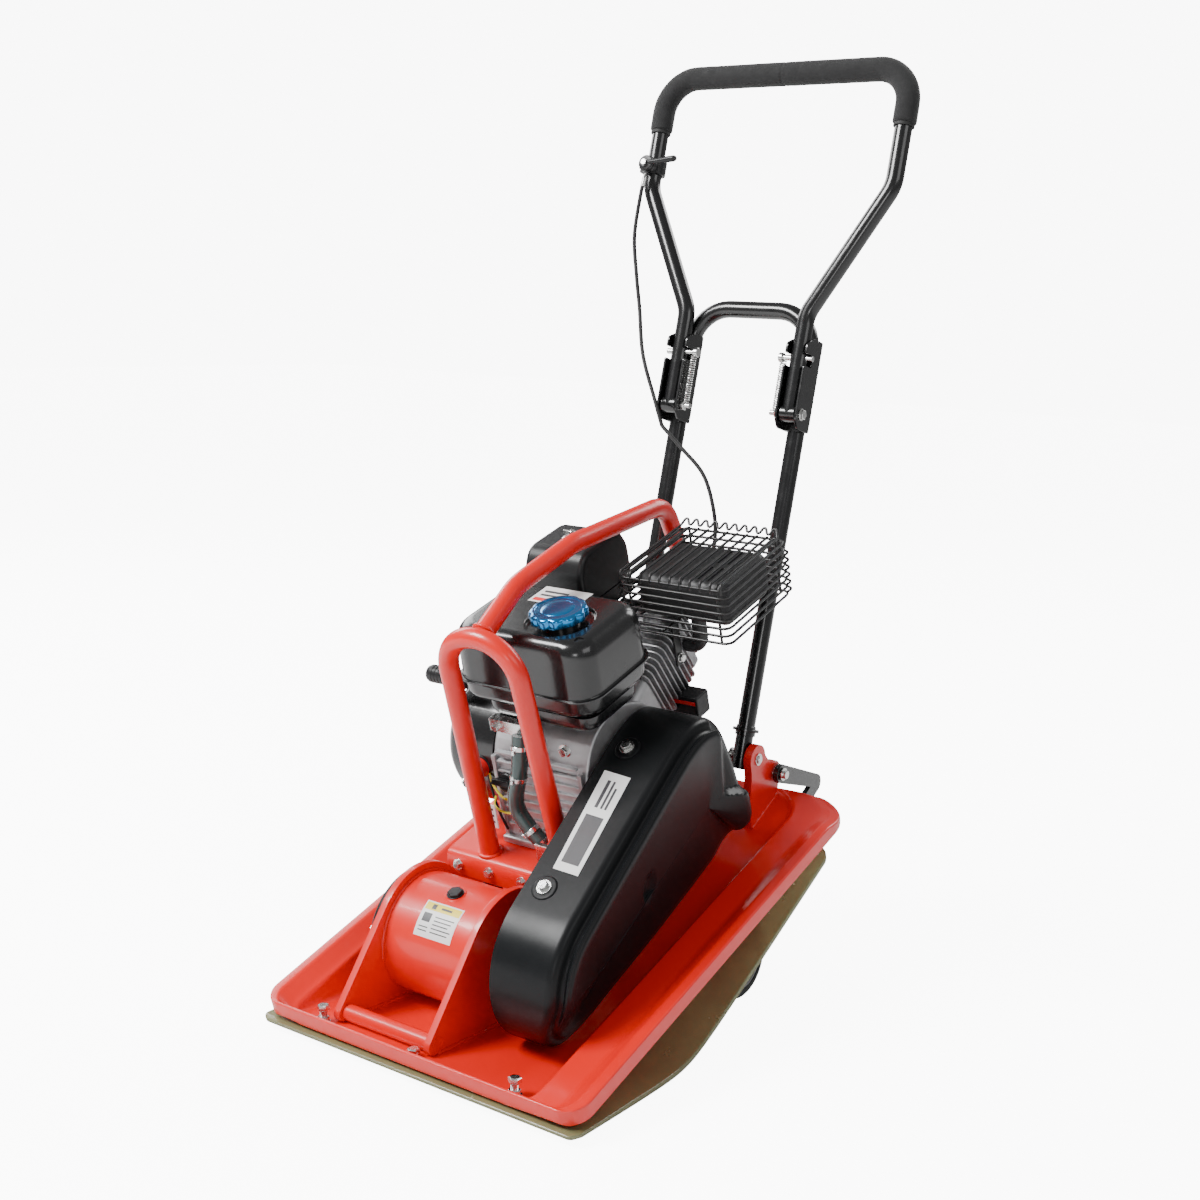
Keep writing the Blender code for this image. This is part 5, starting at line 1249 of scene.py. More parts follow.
def build_covers():
    bore = (CRANK.y, CRANK.z)
    line = soft_outline(shroud_outline(1.0), [0.004] * 40 + [0.012, 0.012, 0.016, 0.02], 3)
    shroud = prism(line, -0.158, -0.1003)
    cut(shroud, prism(shroud_outline(0.962), -0.155, -0.090))
    cut(shroud, rod((-0.17, *bore), (-0.14, *bore), 0.072, 64))
    put(bevelled(shroud, 0.0022, 3, 50), "shroud_shell", "black_paint", "chassis", ["fan_shroud"])
    face = [(0.0125, 0.0110), (0.034, 0.0110), (0.0352, 0.030), (0.0352, 0.048), (0.0340, 0.0560),
            (0.0300, 0.0710),
            (0.0230, 0.0790), (0.0140, 0.0845), (0.0, 0.0845), (0.0, 0.088), (0.0160, 0.088),
            (0.0220, 0.0850),
            (0.0280, 0.0800), (0.0335, 0.0735), (0.0372, 0.0620), (0.0386, 0.0520), (0.0394, 0.0500),
            (0.0397, 0.0300),
            (0.0388, 0.0280), (0.0388, 0.0180), (0.0398, 0.0165), (0.0400, 0.0110)]
    shell = hollow((-0.1583, *bore), (-1, 0, 0), face, 96)
    tools = []
    for k in range(20):
        degrees = 18 * k + 9
        if abs(degrees - NECK_ANGLE) < 14:
            continue
        out, side = spoke(degrees)
        middle = Vector((-0.1930, *bore)) + out * 0.0600
        tools.append(oriented_box(middle, (X_AXIS, out, side), (0.02, 0.0085, 0.0026), 0.0012, 2))
    cut(shell, joined(tools))
    neck = lathe((-0.1785, 0.3880, 0.235), (0, -0.0484, 0.99883), [(0, 0.0090), (0.040, 0.0085),
                                                                   (0.0465, 0.0085),
                                                                  (0.0490, 0.0078)], 28)
    eye = hollow((-0.1785, 0.3852, 0.2812), (0, -0.034, 0.9994), [(0, 0.0042), (0.0029, 0.0042),
                                                                  (0.0032, 0.0060),
                                                                (0.0029, 0.0080), (0, 0.0084)], 28)
    put(joined([shell, neck, eye]), "recoil_shell", "black_paint", "chassis", ["recoil_cover"])
    for k in range(4):
        seat = Vector((-0.1583, *bore)) + spoke(90 * k + 20)[0] * 0.0925
        ear = lathe(seat + Vector((0.002, 0, 0)), (-1, 0, 0), [(0, 0.0080), (0.0045, 0.0078),
                                                               (0.005, 0.0072)], 28)
        put(ear, "recoil_ear_%d" % k, "black_paint")
        put(hex_bolt(seat + Vector((-0.003, 0, 0)), (-1, 0, 0), 0.008, 0.0038, 0.0064),
            "recoil_screw_%d" % k, "zinc")
    grip_y, grip_z = 0.385, 0.297
    line = [(0.0, 0.0050), (0.0008, 0.0078), (0.0030, 0.0106), (0.0070, 0.0124), (0.0110, 0.0125)]
    for k in range(8):
        x = 0.0130 + 0.0058 * k
        line += [(x, 0.0125), (x + 0.0008, 0.0119), (x + 0.0020, 0.0119), (x + 0.0028, 0.0125)]
    line += [(0.0620, 0.0125), (0.0660, 0.0124), (0.0700, 0.0106), (0.0722, 0.0078), (0.073, 0.0050)]
    grip = lathe((-0.2155, grip_y, grip_z), (1, 0, 0), line, 40)
    put(grip, "pull_grip", "black_plastic", "starter_grip", ["recoil_grip"])
    way = Vector((0, -0.034, 0.9994))
    foot = Vector((-0.1785, grip_y, grip_z)) - way * 0.060
    rope = tube([foot.lerp(Vector((-0.1785, grip_y, grip_z)) - way * 0.008, k / 60) for k in range(61)],
                0.0022, 14)
    rope.name = "pull_rope"
    finish_mesh(rope, "rubber")
    rope.data.transform(MACHINE)
    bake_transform(rope)
    base = lathe((-0.122, 0.3535, 0.187), (0, -1, 0), [(0, 0.0165), (0.0020, 0.0165), (0.0028, 0.0155)], 36)
    put(base, "switch_base", "black_plastic")
    line = [(0.0, 0.0148), (0.0090, 0.0148), (0.0120, 0.0142), (0.0138, 0.0124)]
    knob = joined([lathe((-0.122, 0.3505, 0.187), (0, -1, 0), line, 40),
                   box((-0.1255, 0.3345, 0.1745), (-0.1185, 0.3400, 0.1995), 0.0012, 2)])
    put(knob, "stop_dial", "red_plastic", "stop_knob", ["stop_switch"])


# ---- tank, intake and exhaust --------------------------------------------------------------------------
TANK_X, TANK_Y = (-0.140, 0.088), (0.343, 0.505)
CAP_SPOT = (0.007, 0.412)


def tank_ring(z, inset, corner, steps=9):
    (x0, x1), (y0, y1) = TANK_X, TANK_Y
    x0, x1, y0, y1 = x0 + inset + corner, x1 - inset - corner, y0 + inset + corner, y1 - inset - corner
    ring = []
    for k, (x, y) in enumerate(((x1, y1), (x0, y1), (x0, y0), (x1, y0))):
        for i in range(steps + 1):
            a = math.radians(90 * k + 90 * i / steps)
            ring.append(Vector((x + corner * math.cos(a), y + corner * math.sin(a), z)))
    return ring


def build_tank():
    low, high, seam = 0.290, 0.400, 0.322
    layers = [(low, 0.024), (low + 0.0008, 0.0195), (low + 0.0026, 0.0150), (low + 0.0055, 0.0110),
              (low + 0.0095, 0.0080), (low + 0.0150, 0.0060), (seam - 0.0020, 0.0048), (seam - 0.0004,
                                                                                        0.0040),
              (seam, 0.0032), (seam, 0.0004), (seam + 0.0003, 0.0), (seam + 0.0021, 0.0), (seam + 0.0024,
                                                                                           0.0004),
              (seam + 0.0024, 0.0030), (seam + 0.0036, 0.0040), (seam + 0.0060, 0.0042), (high - 0.0240,
                                                                                          0.0052),
              (high - 0.0160, 0.0066), (high - 0.0100, 0.0090), (high - 0.0056, 0.0122), (high - 0.0028,
                                                                                          0.0156),
              (high - 0.0010, 0.0196), (high, 0.0250)]
    tank = skin([tank_ring(z, inset, 0.036 - 0.35 * inset) for z, inset in layers])
    dish = lathe((*CAP_SPOT, high - 0.0060), (0, 0, 1), [(0, 0.0435), (0.0008, 0.0450), (0.0045, 0.0462),
                                                         (0.0058, 0.0472),
                                                          (0.0064, 0.0486), (0.012, 0.0500)], 80)
    cut(tank, dish)
    pocket = slab(round_outline([(0.058, 0.368), (0.076, 0.368), (0.076, 0.380), (0.058, 0.380)], 0.003, 4),
                  high - 0.002, high + 0.01)
    cut(tank, pocket)
    neck = lathe((*CAP_SPOT, high - 0.010), (0, 0, 1), [(0, 0.026), (0.0125, 0.026), (0.013, 0.0255)], 48)
    floor = round_outline([(-0.094, 0.353), (0.078, 0.353), (0.078, 0.468), (-0.094, 0.468)], 0.020, 8)
    core = Vector((-0.008, 0.411))
    rings = []
    for z, scale in ((0.2742, 0.86), (0.2746, 0.90), (0.2762, 0.935), (0.2790, 0.965), (0.2830, 0.985),
                     (0.2880, 0.996),
                     (0.2960, 1.0)):
        rings.append([Vector((core.x + (x - core.x) * scale, core.y + (y - core.y) * scale, z)) for x,
                      y in floor])
    put(skin(rings), "tank_sump", "tank_paint", smooth=40)
    put(joined([tank, neck]), "tank_shell", "tank_paint", "chassis", ["fuel_tank"], 40)
    base = high + 0.0035
    lobes, count = 12, 144
    rings = []
    for z, scale, wave in ((0.0, 0.955, 0.5), (0.0008, 0.985, 1), (0.0022, 1.0, 1), (0.0088, 1.0, 1),
                           (0.0112, 0.985, 1), (0.0128, 0.955, 0.8), (0.0138, 0.915, 0.5), (0.0141, 0.86,
                                                                                            0.1),
                           (0.0138, 0.82, 0), (0.0128, 0.80, 0), (0.0128, 0.60, 0), (0.0134, 0.575, 0),
                           (0.0140, 0.54, 0),
                           (0.0145, 0.40, 0), (0.0145, 0.02, 0)):
        ring = []
        for i in range(count):
            a = 2 * math.pi * i / count
            r = (0.0375 + 0.0015 * wave * (2 * abs(math.cos(lobes * a / 2)) - 1)) * scale
            ring.append(Vector((CAP_SPOT[0] + r * math.cos(a), CAP_SPOT[1] + r * math.sin(a), base + z)))
        rings.append(ring)
    put(skin(rings), "tank_cap", "blue_cap", "cap", ["fuel_cap"])
    for k, (x0, y0, x1, y1, finish) in enumerate(((-0.070, 0.446, 0.006, 0.490, "label_white"),
                                                  (-0.066, 0.450, 0.002, 0.458, "red_plastic"),
                                                  (-0.062, 0.464, -0.012, 0.468, "label_grey"),
                                                  (-0.062, 0.474, -0.024, 0.478, "label_grey"))):
        z = high - 0.0001 + 0.00025 * k
        patch([(x0, y0, z), (x1, y0, z), (x1, y1, z), (x0, y1, z)], "tank_label_%d" % k, finish, 2, 2)


def build_filter():
    line = [(0.545, 0.318), (0.657, 0.318), (0.662, 0.324), (0.662, 0.392), (0.650, 0.413), (0.636, 0.420),
            (0.566, 0.420), (0.552, 0.413), (0.540, 0.392), (0.540, 0.324)]
    side = soft_outline(line, [0.003, 0.003, 0.003, 0.012, 0.008, 0.008, 0.008, 0.008, 0.012, 0.003])
    middle = Vector((0.601, 0.369))
    shell = drawn_in(side, middle, ((-0.150, 0.0090), (-0.1496, 0.0060), (-0.1480, 0.0030),
                                    (-0.1455, 0.0010),
                                    (-0.1420, 0.0), (-0.0600, 0.0), (-0.0565, 0.0010), (-0.0540, 0.0030),
                                    (-0.0524, 0.0060), (-0.052, 0.0090)))
    band = box((-0.170, 0.50, 0.3440), (-0.03, 0.70, 0.3462))
    inner = prism([(middle.x + (y - middle.x) * 0.975, middle.y + (z - middle.y) * 0.975) for y,
                   z in side], -0.1475, -0.0545)
    cut(band, inner)
    cut(shell, band)
    put(shell, "filter_shell", "black_plastic", "chassis", ["air_filter_box"])
    knob = lathe((-0.101, 0.600, 0.4195), (0, 0, 1), [(0.0, 0.0150), (0.0016, 0.0148), (0.0028, 0.0120),
                                                      (0.0034, 0.0060),
                                                       (0.0040, 0.0045), (0.0110, 0.0045),
                                                      (0.0118, 0.0036)], 32)
    wings = [oriented_box(Vector((-0.101 + s * 0.0085, 0.600, 0.4272)), (X_AXIS, Y_AXIS,
                                                                        Z_AXIS), (0.0062, 0.0013, 0.0038),
                          0.0012, 2)
             for s in (-1, 1)]
    put(joined([knob] + wings), "filter_wing_nut", "zinc")
    parts = [box((-0.1250, 0.5970, 0.2400), (-0.0800, 0.6550, 0.3175), 0.005, 3)]
    parts.append(lathe((-0.102, 0.627, 0.206), (0, 0, 1), [(0, 0.014), (0.001, 0.0185), (0.004, 0.0215),
                                                           (0.010, 0.022),
                                                            (0.030, 0.022), (0.034, 0.0205)], 44))
    parts.append(box((-0.085, 0.613, 0.256), (-0.0645, 0.635, 0.286), 0.003, 2))
    for z in (0.252, 0.272, 0.296):
        parts.append(lathe((-0.1245, 0.6050, z), (-1, 0, 0), [(0, 0.0050), (0.0020, 0.0048),
                                                              (0.0026, 0.0040)], 20))
    put(joined(parts), "carburettor_body", "cast_aluminium", "chassis", ["carburettor"])
    put(hex_bolt((-0.102, 0.627, 0.2062), (0, 0, -1), 0.009, 0.004), "bowl_screw", "zinc")
    for name, tag, z, colour, body in (("choke_lever", "choke_arm", 0.302, "black_plastic", "choke"),
                                       ("fuel_lever", "fuel_arm", 0.250, "red_plastic", "fuel_tap")):
        pivot = Vector((-0.1255, 0.622, z))
        hub = lathe(pivot, (-1, 0, 0), [(0.0, 0.0070), (0.0042, 0.0070), (0.0050, 0.0062)], 32)
        outline = round_outline([(0.618, z - 0.0030), (0.655, z - 0.0040), (0.662, z), (0.655, z + 0.0040),
                                 (0.618, z + 0.0030)], 0.003, 4)
        arm = prism(outline, -0.1303, -0.1265, 0.0008, 2)
        put(joined([hub, arm]), tag, colour, body, [name])


def build_exhaust():
    line = round_outline([(0.578, 0.326), (0.700, 0.326), (0.700, 0.388), (0.578, 0.388)], 0.016, 6)
    can = drawn_in(line, Vector((0.639, 0.357)),
                   ((0.0120, 0.0110), (0.0126, 0.0070), (0.0150, 0.0030), (0.0180, 0.0008), (0.0210, 0.0),
                    (0.0800, 0.0), (0.0806, -0.0016), (0.0826, -0.0016), (0.0832, 0.0), (0.1410, 0.0),
                    (0.1440, 0.0008), (0.1470, 0.0030), (0.1494, 0.0070), (0.150, 0.0110)))
    slots = []
    for k in range(6):
        for j in range(2):
            x, y = 0.094 + 0.008 * k, 0.592 + 0.052 * j
            slots.append(slab(round_outline([(x, y), (x + 0.0034, y), (x + 0.0034, y + 0.040),
                                             (x, y + 0.040)], 0.0016, 3),
                              0.3862, 0.395))
    cut(can, joined(slots))
    pipe = fillet([(0.076, 0.622, 0.345), (0.076, 0.622, 0.268), (0.0505, 0.622, 0.268)], 0.016, 10)
    put(joined([can, tube(pipe, 0.0105, 36)]), "silencer", "muffler_paint", "chassis", ["muffler"])
    flange = slab(round_outline([(0.056, 0.602), (0.096, 0.602), (0.096, 0.642), (0.056, 0.642)], 0.010,
                                5), 0.3225, 0.3262)
    put(flange, "silencer_flange", "muffler_paint")


def build_guard():
    (x0, y0, z0), (x1, y1, z1) = (-0.004, 0.556, 0.3135), (0.166, 0.727, 0.404)
    wire = 0.0019
    x0, y0, z0, x1, y1, z1 = x0 + wire, y0 + wire, z0 + wire, x1 - wire, y1 - wire, z1 - wire
    parts = []
    count = 11
    pitch = (x1 - x0 - 0.010) / (count - 1)
    zigzag = []
    for k in range(count):
        x = x0 + 0.005 + pitch * k
        path = fillet([(x, y0, z1 - 0.014), (x, y0, z1 - 0.001), (x, y1 - 0.012, z1 - 0.001)], 0.006, 6)
        parts.append(tube(path, wire, 10))
        zigzag += [Vector((x, y1 - 0.012, z1 - 0.001)), Vector((x + pitch / 2, y1, z1 + 0.011))]
    parts.append(tube(fillet(zigzag[:-1], 0.0030, 4), wire, 10))
    levels = 8
    rise = (z1 - z0 - 0.010) / (levels - 1)
    for k in range(levels):
        z = z0 + 0.001 + rise * k
        loop = round_outline([(x0, y0), (x1, y0), (x1, y1), (x0, y1)], 0.012, 6)
        path = [Vector((x, y, z)) for x, y in loop]
        parts.append(tube(path + [path[0], path[1]], wire, 10))
    for x, y, dx, dy in ((x1 - 0.004, y1 - 0.004, 0.007, 0.004), (x0 + 0.004, y0 + 0.004, -0.007, -0.002),
                         (x0 + 0.004, y1 - 0.004, -0.004, 0.004)):
        corner = []
        for k in range(levels - 1):
            z = z0 + 0.001 + rise * k
            corner += [Vector((x, y, z)), Vector((x + dx, y + dy, z + rise / 2))]
        parts.append(tube(fillet(corner[:-1], 0.0020, 4), wire, 10))
    for x in (0.012, 0.150):
        path = fillet([(x, y0 + 0.0030, z0), (x, y0 + 0.0030, z1 - 0.004), (x, y1 - 0.0030, z1 - 0.004),
                       (x, y1 - 0.0030, z0)], 0.008, 6)
        parts.append(tube(path, wire, 10))
    put(joined(parts), "guard_cage", "wire_paint", "chassis", ["muffler_guard"], 60)
    strap = joined([box((0.0545, 0.585, 0.2505), (0.0575, 0.600, 0.3160), 0.0006, 1),
                    box((0.0545, 0.5575, 0.3140), (0.0575, 0.7250, 0.3165), 0.0006, 1)])
    put(strap, "guard_strap", "wire_paint")
    put(hex_bolt((0.0576, 0.5925, 0.262), (1, 0, 0), 0.010, 0.0045, 0.0066), "guard_screw", "zinc")


# ---- engine trim ---------------------------------------------------------------------------------------
def build_trim():
    hose = spline([(-0.030, 0.338, 0.262), (-0.0300, 0.330, 0.235), (-0.0330, 0.325, 0.208),
                   (-0.0420, 0.322, 0.178),
                   (-0.0420, 0.321, 0.155), (-0.0300, 0.321, 0.133), (-0.0140, 0.322, 0.113)], 14)
    put(tube(hose, 0.0110, 32), "breather_hose", "green_hose")
    for k, f in enumerate((0.10, 0.36, 0.90)):
        i = int(f * (len(hose) - 2))
        axis = (hose[i + 1] - hose[i]).normalized()
        clip = hollow(hose[i] - axis * 0.003, axis, [(0, 0.0108), (0.0062, 0.0108), (0.0062, 0.0121),
                                                     (0.0058, 0.0124),
                                                       (0.0004, 0.0124), (0, 0.0121)], 32)
        ear = oriented_box(hose[i] + Vector((0.0, -0.0135, 0.0)), (X_AXIS, Y_AXIS, axis),
                           (0.0022, 0.0030, 0.0030), 0.0006, 1)
        put(joined([clip, ear]), "hose_clip_%d" % k, "zinc")
    put(box((-0.012, 0.3050, 0.1080), (0.016, 0.3120, 0.1190), 0.0012, 2), "hose_bracket", "zinc")
    put(joined([box((-0.012, 0.3060, 0.0760), (0.016, 0.3085, 0.1120), 0.0010, 2),
                box((-0.012, 0.3060, 0.0752), (0.016, 0.3300, 0.0778), 0.0010, 2)]), "hose_bracket_foot",
        "zinc")
    put(hex_bolt((0.002, 0.3048, 0.0955), (0, -1, 0), 0.010, 0.0045, 0.0070), "hose_bracket_screw", "zinc")
    out = Vector((0, -0.93, 0.37))
    seat = Vector((-0.078, 0.3540, 0.172))
    dip = joined([lathe(seat, out, [(0, 0.0130), (0.0090, 0.0130), (0.0100, 0.0120), (0.0110, 0.0105)], 36),
                  oriented_box(seat + out * 0.0150, (X_AXIS, Vector((0, 0.37, 0.93)), out),
                               (0.0150, 0.0042, 0.0070), 0.0016, 3)])
    put(dip, "oil_filler", "black_plastic")
    put(box((-0.128, 0.3430, 0.0960), (-0.104, 0.3445, 0.1330), 0.0004, 1), "side_label", "label_white")
    for k in range(3):
        z = 0.1260 - 0.0100 * k
        put(box((-0.1250, 0.3425, z - 0.0015), (-0.1080, 0.3431, z + 0.0015), 0.0002, 1),
            "side_label_line_%d" % k, "label_grey")
    strap = joined([box((-0.084, 0.3430, 0.2560), (-0.030, 0.3460, 0.2740), 0.0010, 2),
                    box((-0.084, 0.3430, 0.2715), (-0.030, 0.3600, 0.2740), 0.0008, 2)])
    put(strap, "tank_strap", "zinc")
    put(hex_bolt((-0.072, 0.3428, 0.2640), (0, -1, 0), 0.009, 0.004, 0.0064), "tank_strap_screw", "zinc")
    plug = hex_bolt((0.0325, 0.3485, 0.247), (0, -1, 0), 0.012, 0.006, 0.0092)
    put(plug, "gallery_plug", "zinc")
    put(hex_bolt((-0.030, 0.3475, 0.0960), (0, -1, 0), 0.013, 0.007, 0.0098), "drain_plug", "zinc")
    loop = spline([(-0.098, 0.344, 0.150), (-0.096, 0.336, 0.140), (-0.078, 0.330, 0.138), (-0.058, 0.330,
                                                                                            0.141),
                   (-0.046, 0.334, 0.150), (-0.060, 0.338, 0.156), (-0.082, 0.340, 0.153), (-0.100, 0.345,
                                                                                            0.166),
                   (-0.108, 0.350, 0.180)], 12)
    put(tube(loop, 0.0016, 10), "switch_wire", "yellow_wire")
    loop = spline([(-0.112, 0.352, 0.176), (-0.104, 0.346, 0.150), (-0.096, 0.344, 0.120), (-0.092, 0.348,
                                                                                            0.096)], 10)
    put(tube(loop, 0.0018, 10), "switch_lead", "rubber")
    body = box((0.022, 0.580, 0.1740), (0.084, 0.612, 0.2080), 0.003, 3)
    put(body, "oil_alarm_box", "black_plastic")
    put(box((0.0250, 0.5790, 0.1960), (0.0810, 0.5798, 0.2015), 0.0003, 1), "oil_alarm_strip",
        "red_plastic")
    foot = joined([box((0.030, 0.585, 0.0755), (0.050, 0.588, 0.1745), 0.0008, 1),
                   box((0.030, 0.572, 0.0755), (0.050, 0.588, 0.0785), 0.0008, 1)])
    put(foot, "oil_alarm_bracket", "zinc")
    arm = joined([box((-0.078, 0.5560, 0.2700), (-0.070, 0.6600, 0.2725), 0.0008, 1),
                  lathe((-0.074, 0.560, 0.262), (0, 0, 1), [(0, 0.0060), (0.014, 0.0060), (0.015, 0.0052)],
                        24)])
    put(arm, "governor_arm", "zinc")
    put(coil((-0.074, 0.566, 0.2752), (-0.074, 0.600, 0.2752), 0.0030, 0.0006, 16, 6, 12),
        "governor_spring", "steel")


# ---- handles ----------------------------------------------------------------------------------------------
def build_lower_handle():
    path = fillet([on_handle(t, 0.0, x) for x, t in ((-HANDLE_X, -0.018), (-HANDLE_X, 0.645),
                                                     (HANDLE_X, 0.645),
                                                     (HANDLE_X, -0.018))], 0.058, 16)
    parts = [tube(resample(path, 150), TUBE_RADIUS, 36)]
    for side in (-1, 1):
        plate = [on_handle(t, n) for t, n in ((0.470, -0.004), (0.470, 0.030), (0.484, 0.041),
                                              (0.560, 0.041),
                                              (0.560, 0.020), (0.5775, 0.020), (0.5775, 0.041),
                                              (0.592, 0.041),
                                              (0.602, 0.020), (0.602, -0.004))]
        outline = soft_outline([(p.y, p.z) for p in plate],
                               [0.003, 0.006, 0.006, 0.003, 0.004, 0.004, 0.003, 0.006, 0.006, 0.003])
        for edge in (HANDLE_X - 0.0175, HANDLE_X + 0.0140):
            x0, x1 = sorted((side * edge, side * (edge + 0.0035)))
            parts.append(prism(outline, x0, x1, 0.0007, 2))
        floor = [on_handle(t, n) for t, n in ((0.470, 0.0100), (0.470, 0.0132), (0.602, 0.0132),
                                              (0.602, 0.0100))]
        parts.append(prism([(p.y, p.z) for p in floor], side * HANDLE_X - 0.0165, side * HANDLE_X + 0.0165))
        for edge in (-0.0150, 0.0150):
            seam = [on_handle(0.474 + 0.008 * k, -0.004, side * HANDLE_X + edge * 0.97) for k in range(16)]
            parts.append(bead(seam, 0.0024))
        collar = hollow(on_handle(0.030, 0.0, side * HANDLE_X), HANDLE_UP,
                        [(0.0, 0.0120), (0.0140, 0.0120), (0.0140, 0.0136), (0.0136, 0.0140),
                         (0.0104, 0.0140),
                         (0.0100, 0.0186), (0.0096, 0.0190), (0.0064, 0.0190), (0.0060, 0.0186),
                         (0.0057, 0.0145),
                         (0.0003, 0.0145), (0.0, 0.0142)], 44)
        parts.append(collar)
        sleeve = hollow(on_handle(-0.0155, 0.0, side * HANDLE_X), HANDLE_UP,
                        [(0.0, 0.0122), (0.0180, 0.0122), (0.0180, 0.0132), (0.0176, 0.0135),
                         (0.0004, 0.0135),
                         (0.0, 0.0132)], 44)
        parts.append(sleeve)
    put(joined(parts), "handle_frame", "black_paint", "handle_lower", ["lower_handle"])


def upper_route(steps):
    half = [(HANDLE_X, FOLD_T), (HANDLE_X, 0.635), (GRIP_X, 0.820), (GRIP_X, 0.988)]
    points = [on_handle(t, FOLD_N, -x) for x, t in half] + [on_handle(t, FOLD_N, x) for x, t in half[::-1]]
    return fillet(points, [0.05, 0.055, 0.052, 0.052, 0.055, 0.05], steps)


def build_upper_handle():
    path = resample(upper_route(14), 260)
    parts = [tube(path, TUBE_RADIUS, 36)]
    for side in (-1, 1):
        tag = "left" if side < 0 else "right"
        pivot = on_handle(FOLD_T, FOLD_N, side * HANDLE_X)
        parts.append(rod(pivot - Vector((0.0123, 0, 0)), pivot + Vector((0.0123, 0, 0)), 0.0124, 36,
                         0.0015))
        pin = [on_handle(LATCH_T, FOLD_N, side * (HANDLE_X - 0.031)),
               on_handle(LATCH_T, FOLD_N, side * (HANDLE_X + 0.022))]
        put(rod(*pin, 0.0042, 24, 0.0008), "latch_pin_" + tag, "zinc", "handle_upper")
        knob = lathe(pin[0], pin[0] - pin[1], [(-0.006, 0.0062), (-0.005, 0.0070), (0.0, 0.0070),
                                               (0.0008, 0.0062)], 32)
        put(knob, "latch_knob_" + tag, "zinc", "handle_upper")
        head = on_handle(FOLD_T, FOLD_N, side * (HANDLE_X + 0.0178))
        out = Vector((side, 0, 0))
        bolt = joined([lathe(head, out, [(0, 0.0084), (0.0003, 0.0088), (0.0012, 0.0088),
                                         (0.0014, 0.0084)], 32),
                       lathe(head + out * 0.0014, out, [(0, 0.0070), (0.0004, 0.0075), (0.0034, 0.0075),
                                                        (0.0041, 0.0064)], 6),
                       rod(head, head - out * 0.0500, 0.0040, 20),
                       lathe(head - out * 0.0356, -out, [(0, 0.0068), (0.0004, 0.0074), (0.0055, 0.0074),
                                                         (0.0062, 0.0064)], 6)])
        put(bolt, "pivot_bolt_" + tag, "zinc", "handle_lower", ["fold_bolt_" + tag])
        x = side * (HANDLE_X - 0.0245)
        low, high = on_handle(FOLD_T + 0.0062, FOLD_N, x), on_handle(LATCH_T - 0.0048, FOLD_N, x)
        spring = coil(low, high, 0.0043, 0.0009, 21, 10, 14)
        hooks = [tube(fillet([low + Vector((side * -0.004, 0, 0)), low - HANDLE_UP * 0.006,
                              low - HANDLE_UP * 0.0062
                              + Vector((side * 0.006, 0, 0))], 0.003, 5), 0.0009, 10)]
        put(joined([spring] + hooks), "latch_spring_" + tag, "zinc", "handle_upper",
            ["handle_spring_" + tag])
    put(joined(parts), "handle_bar", "black_paint", "handle_upper", ["upper_handle"])
    grip = [p for p in resample(upper_route(18), 420) if (p - on_handle(0.0, FOLD_N,
                                                                        p.x)).dot(HANDLE_UP) > 0.9085]
    grip = [on_handle(0.908, FOLD_N, -GRIP_X)] + grip + [on_handle(0.908, FOLD_N, GRIP_X)]
    grip = resample(grip, 300)
    lengths = [0.0]
    for a, b in zip(grip, grip[1:]):
        lengths.append(lengths[-1] + (b - a).length)
    total = lengths[-1]
    radii = []
    for s in lengths:
        end = min(s, total - s)
        fat = 0.0170 - 0.0016 * max(0.0, 1 - end / 0.0028) ** 2
        fat -= 0.0010 * math.exp(-((s - total * 0.5) / 0.0011) ** 2)
        radii.append(fat)
    outside, inside = tube_rings(grip, radii, 40), tube_rings(grip, TUBE_RADIUS + 0.0004, 40)
    for i, ring in enumerate(outside):
        for k, p in enumerate(ring):
            away = (p - grip[i]).normalized()
            ring[k] = p + away * 0.00025 * noise.noise(p * 90)
    foam = put(skin(outside + inside[::-1], closed=True), "grip_foam", "foam", "handle_upper",
               ["foam_grip"], 60)
    for side in (-1, 1):
        edge = hollow(on_handle(0.9035, FOLD_N, side * GRIP_X), HANDLE_UP,
                      [(0.0, 0.0124), (0.0048, 0.0124), (0.0048, 0.0146), (0.0044, 0.0150),
                       (0.0004, 0.0150),
                       (0.0, 0.0146)], 40)
        put(edge, "grip_band_%s" % ("left" if side < 0 else "right"), "rubber", "handle_upper")


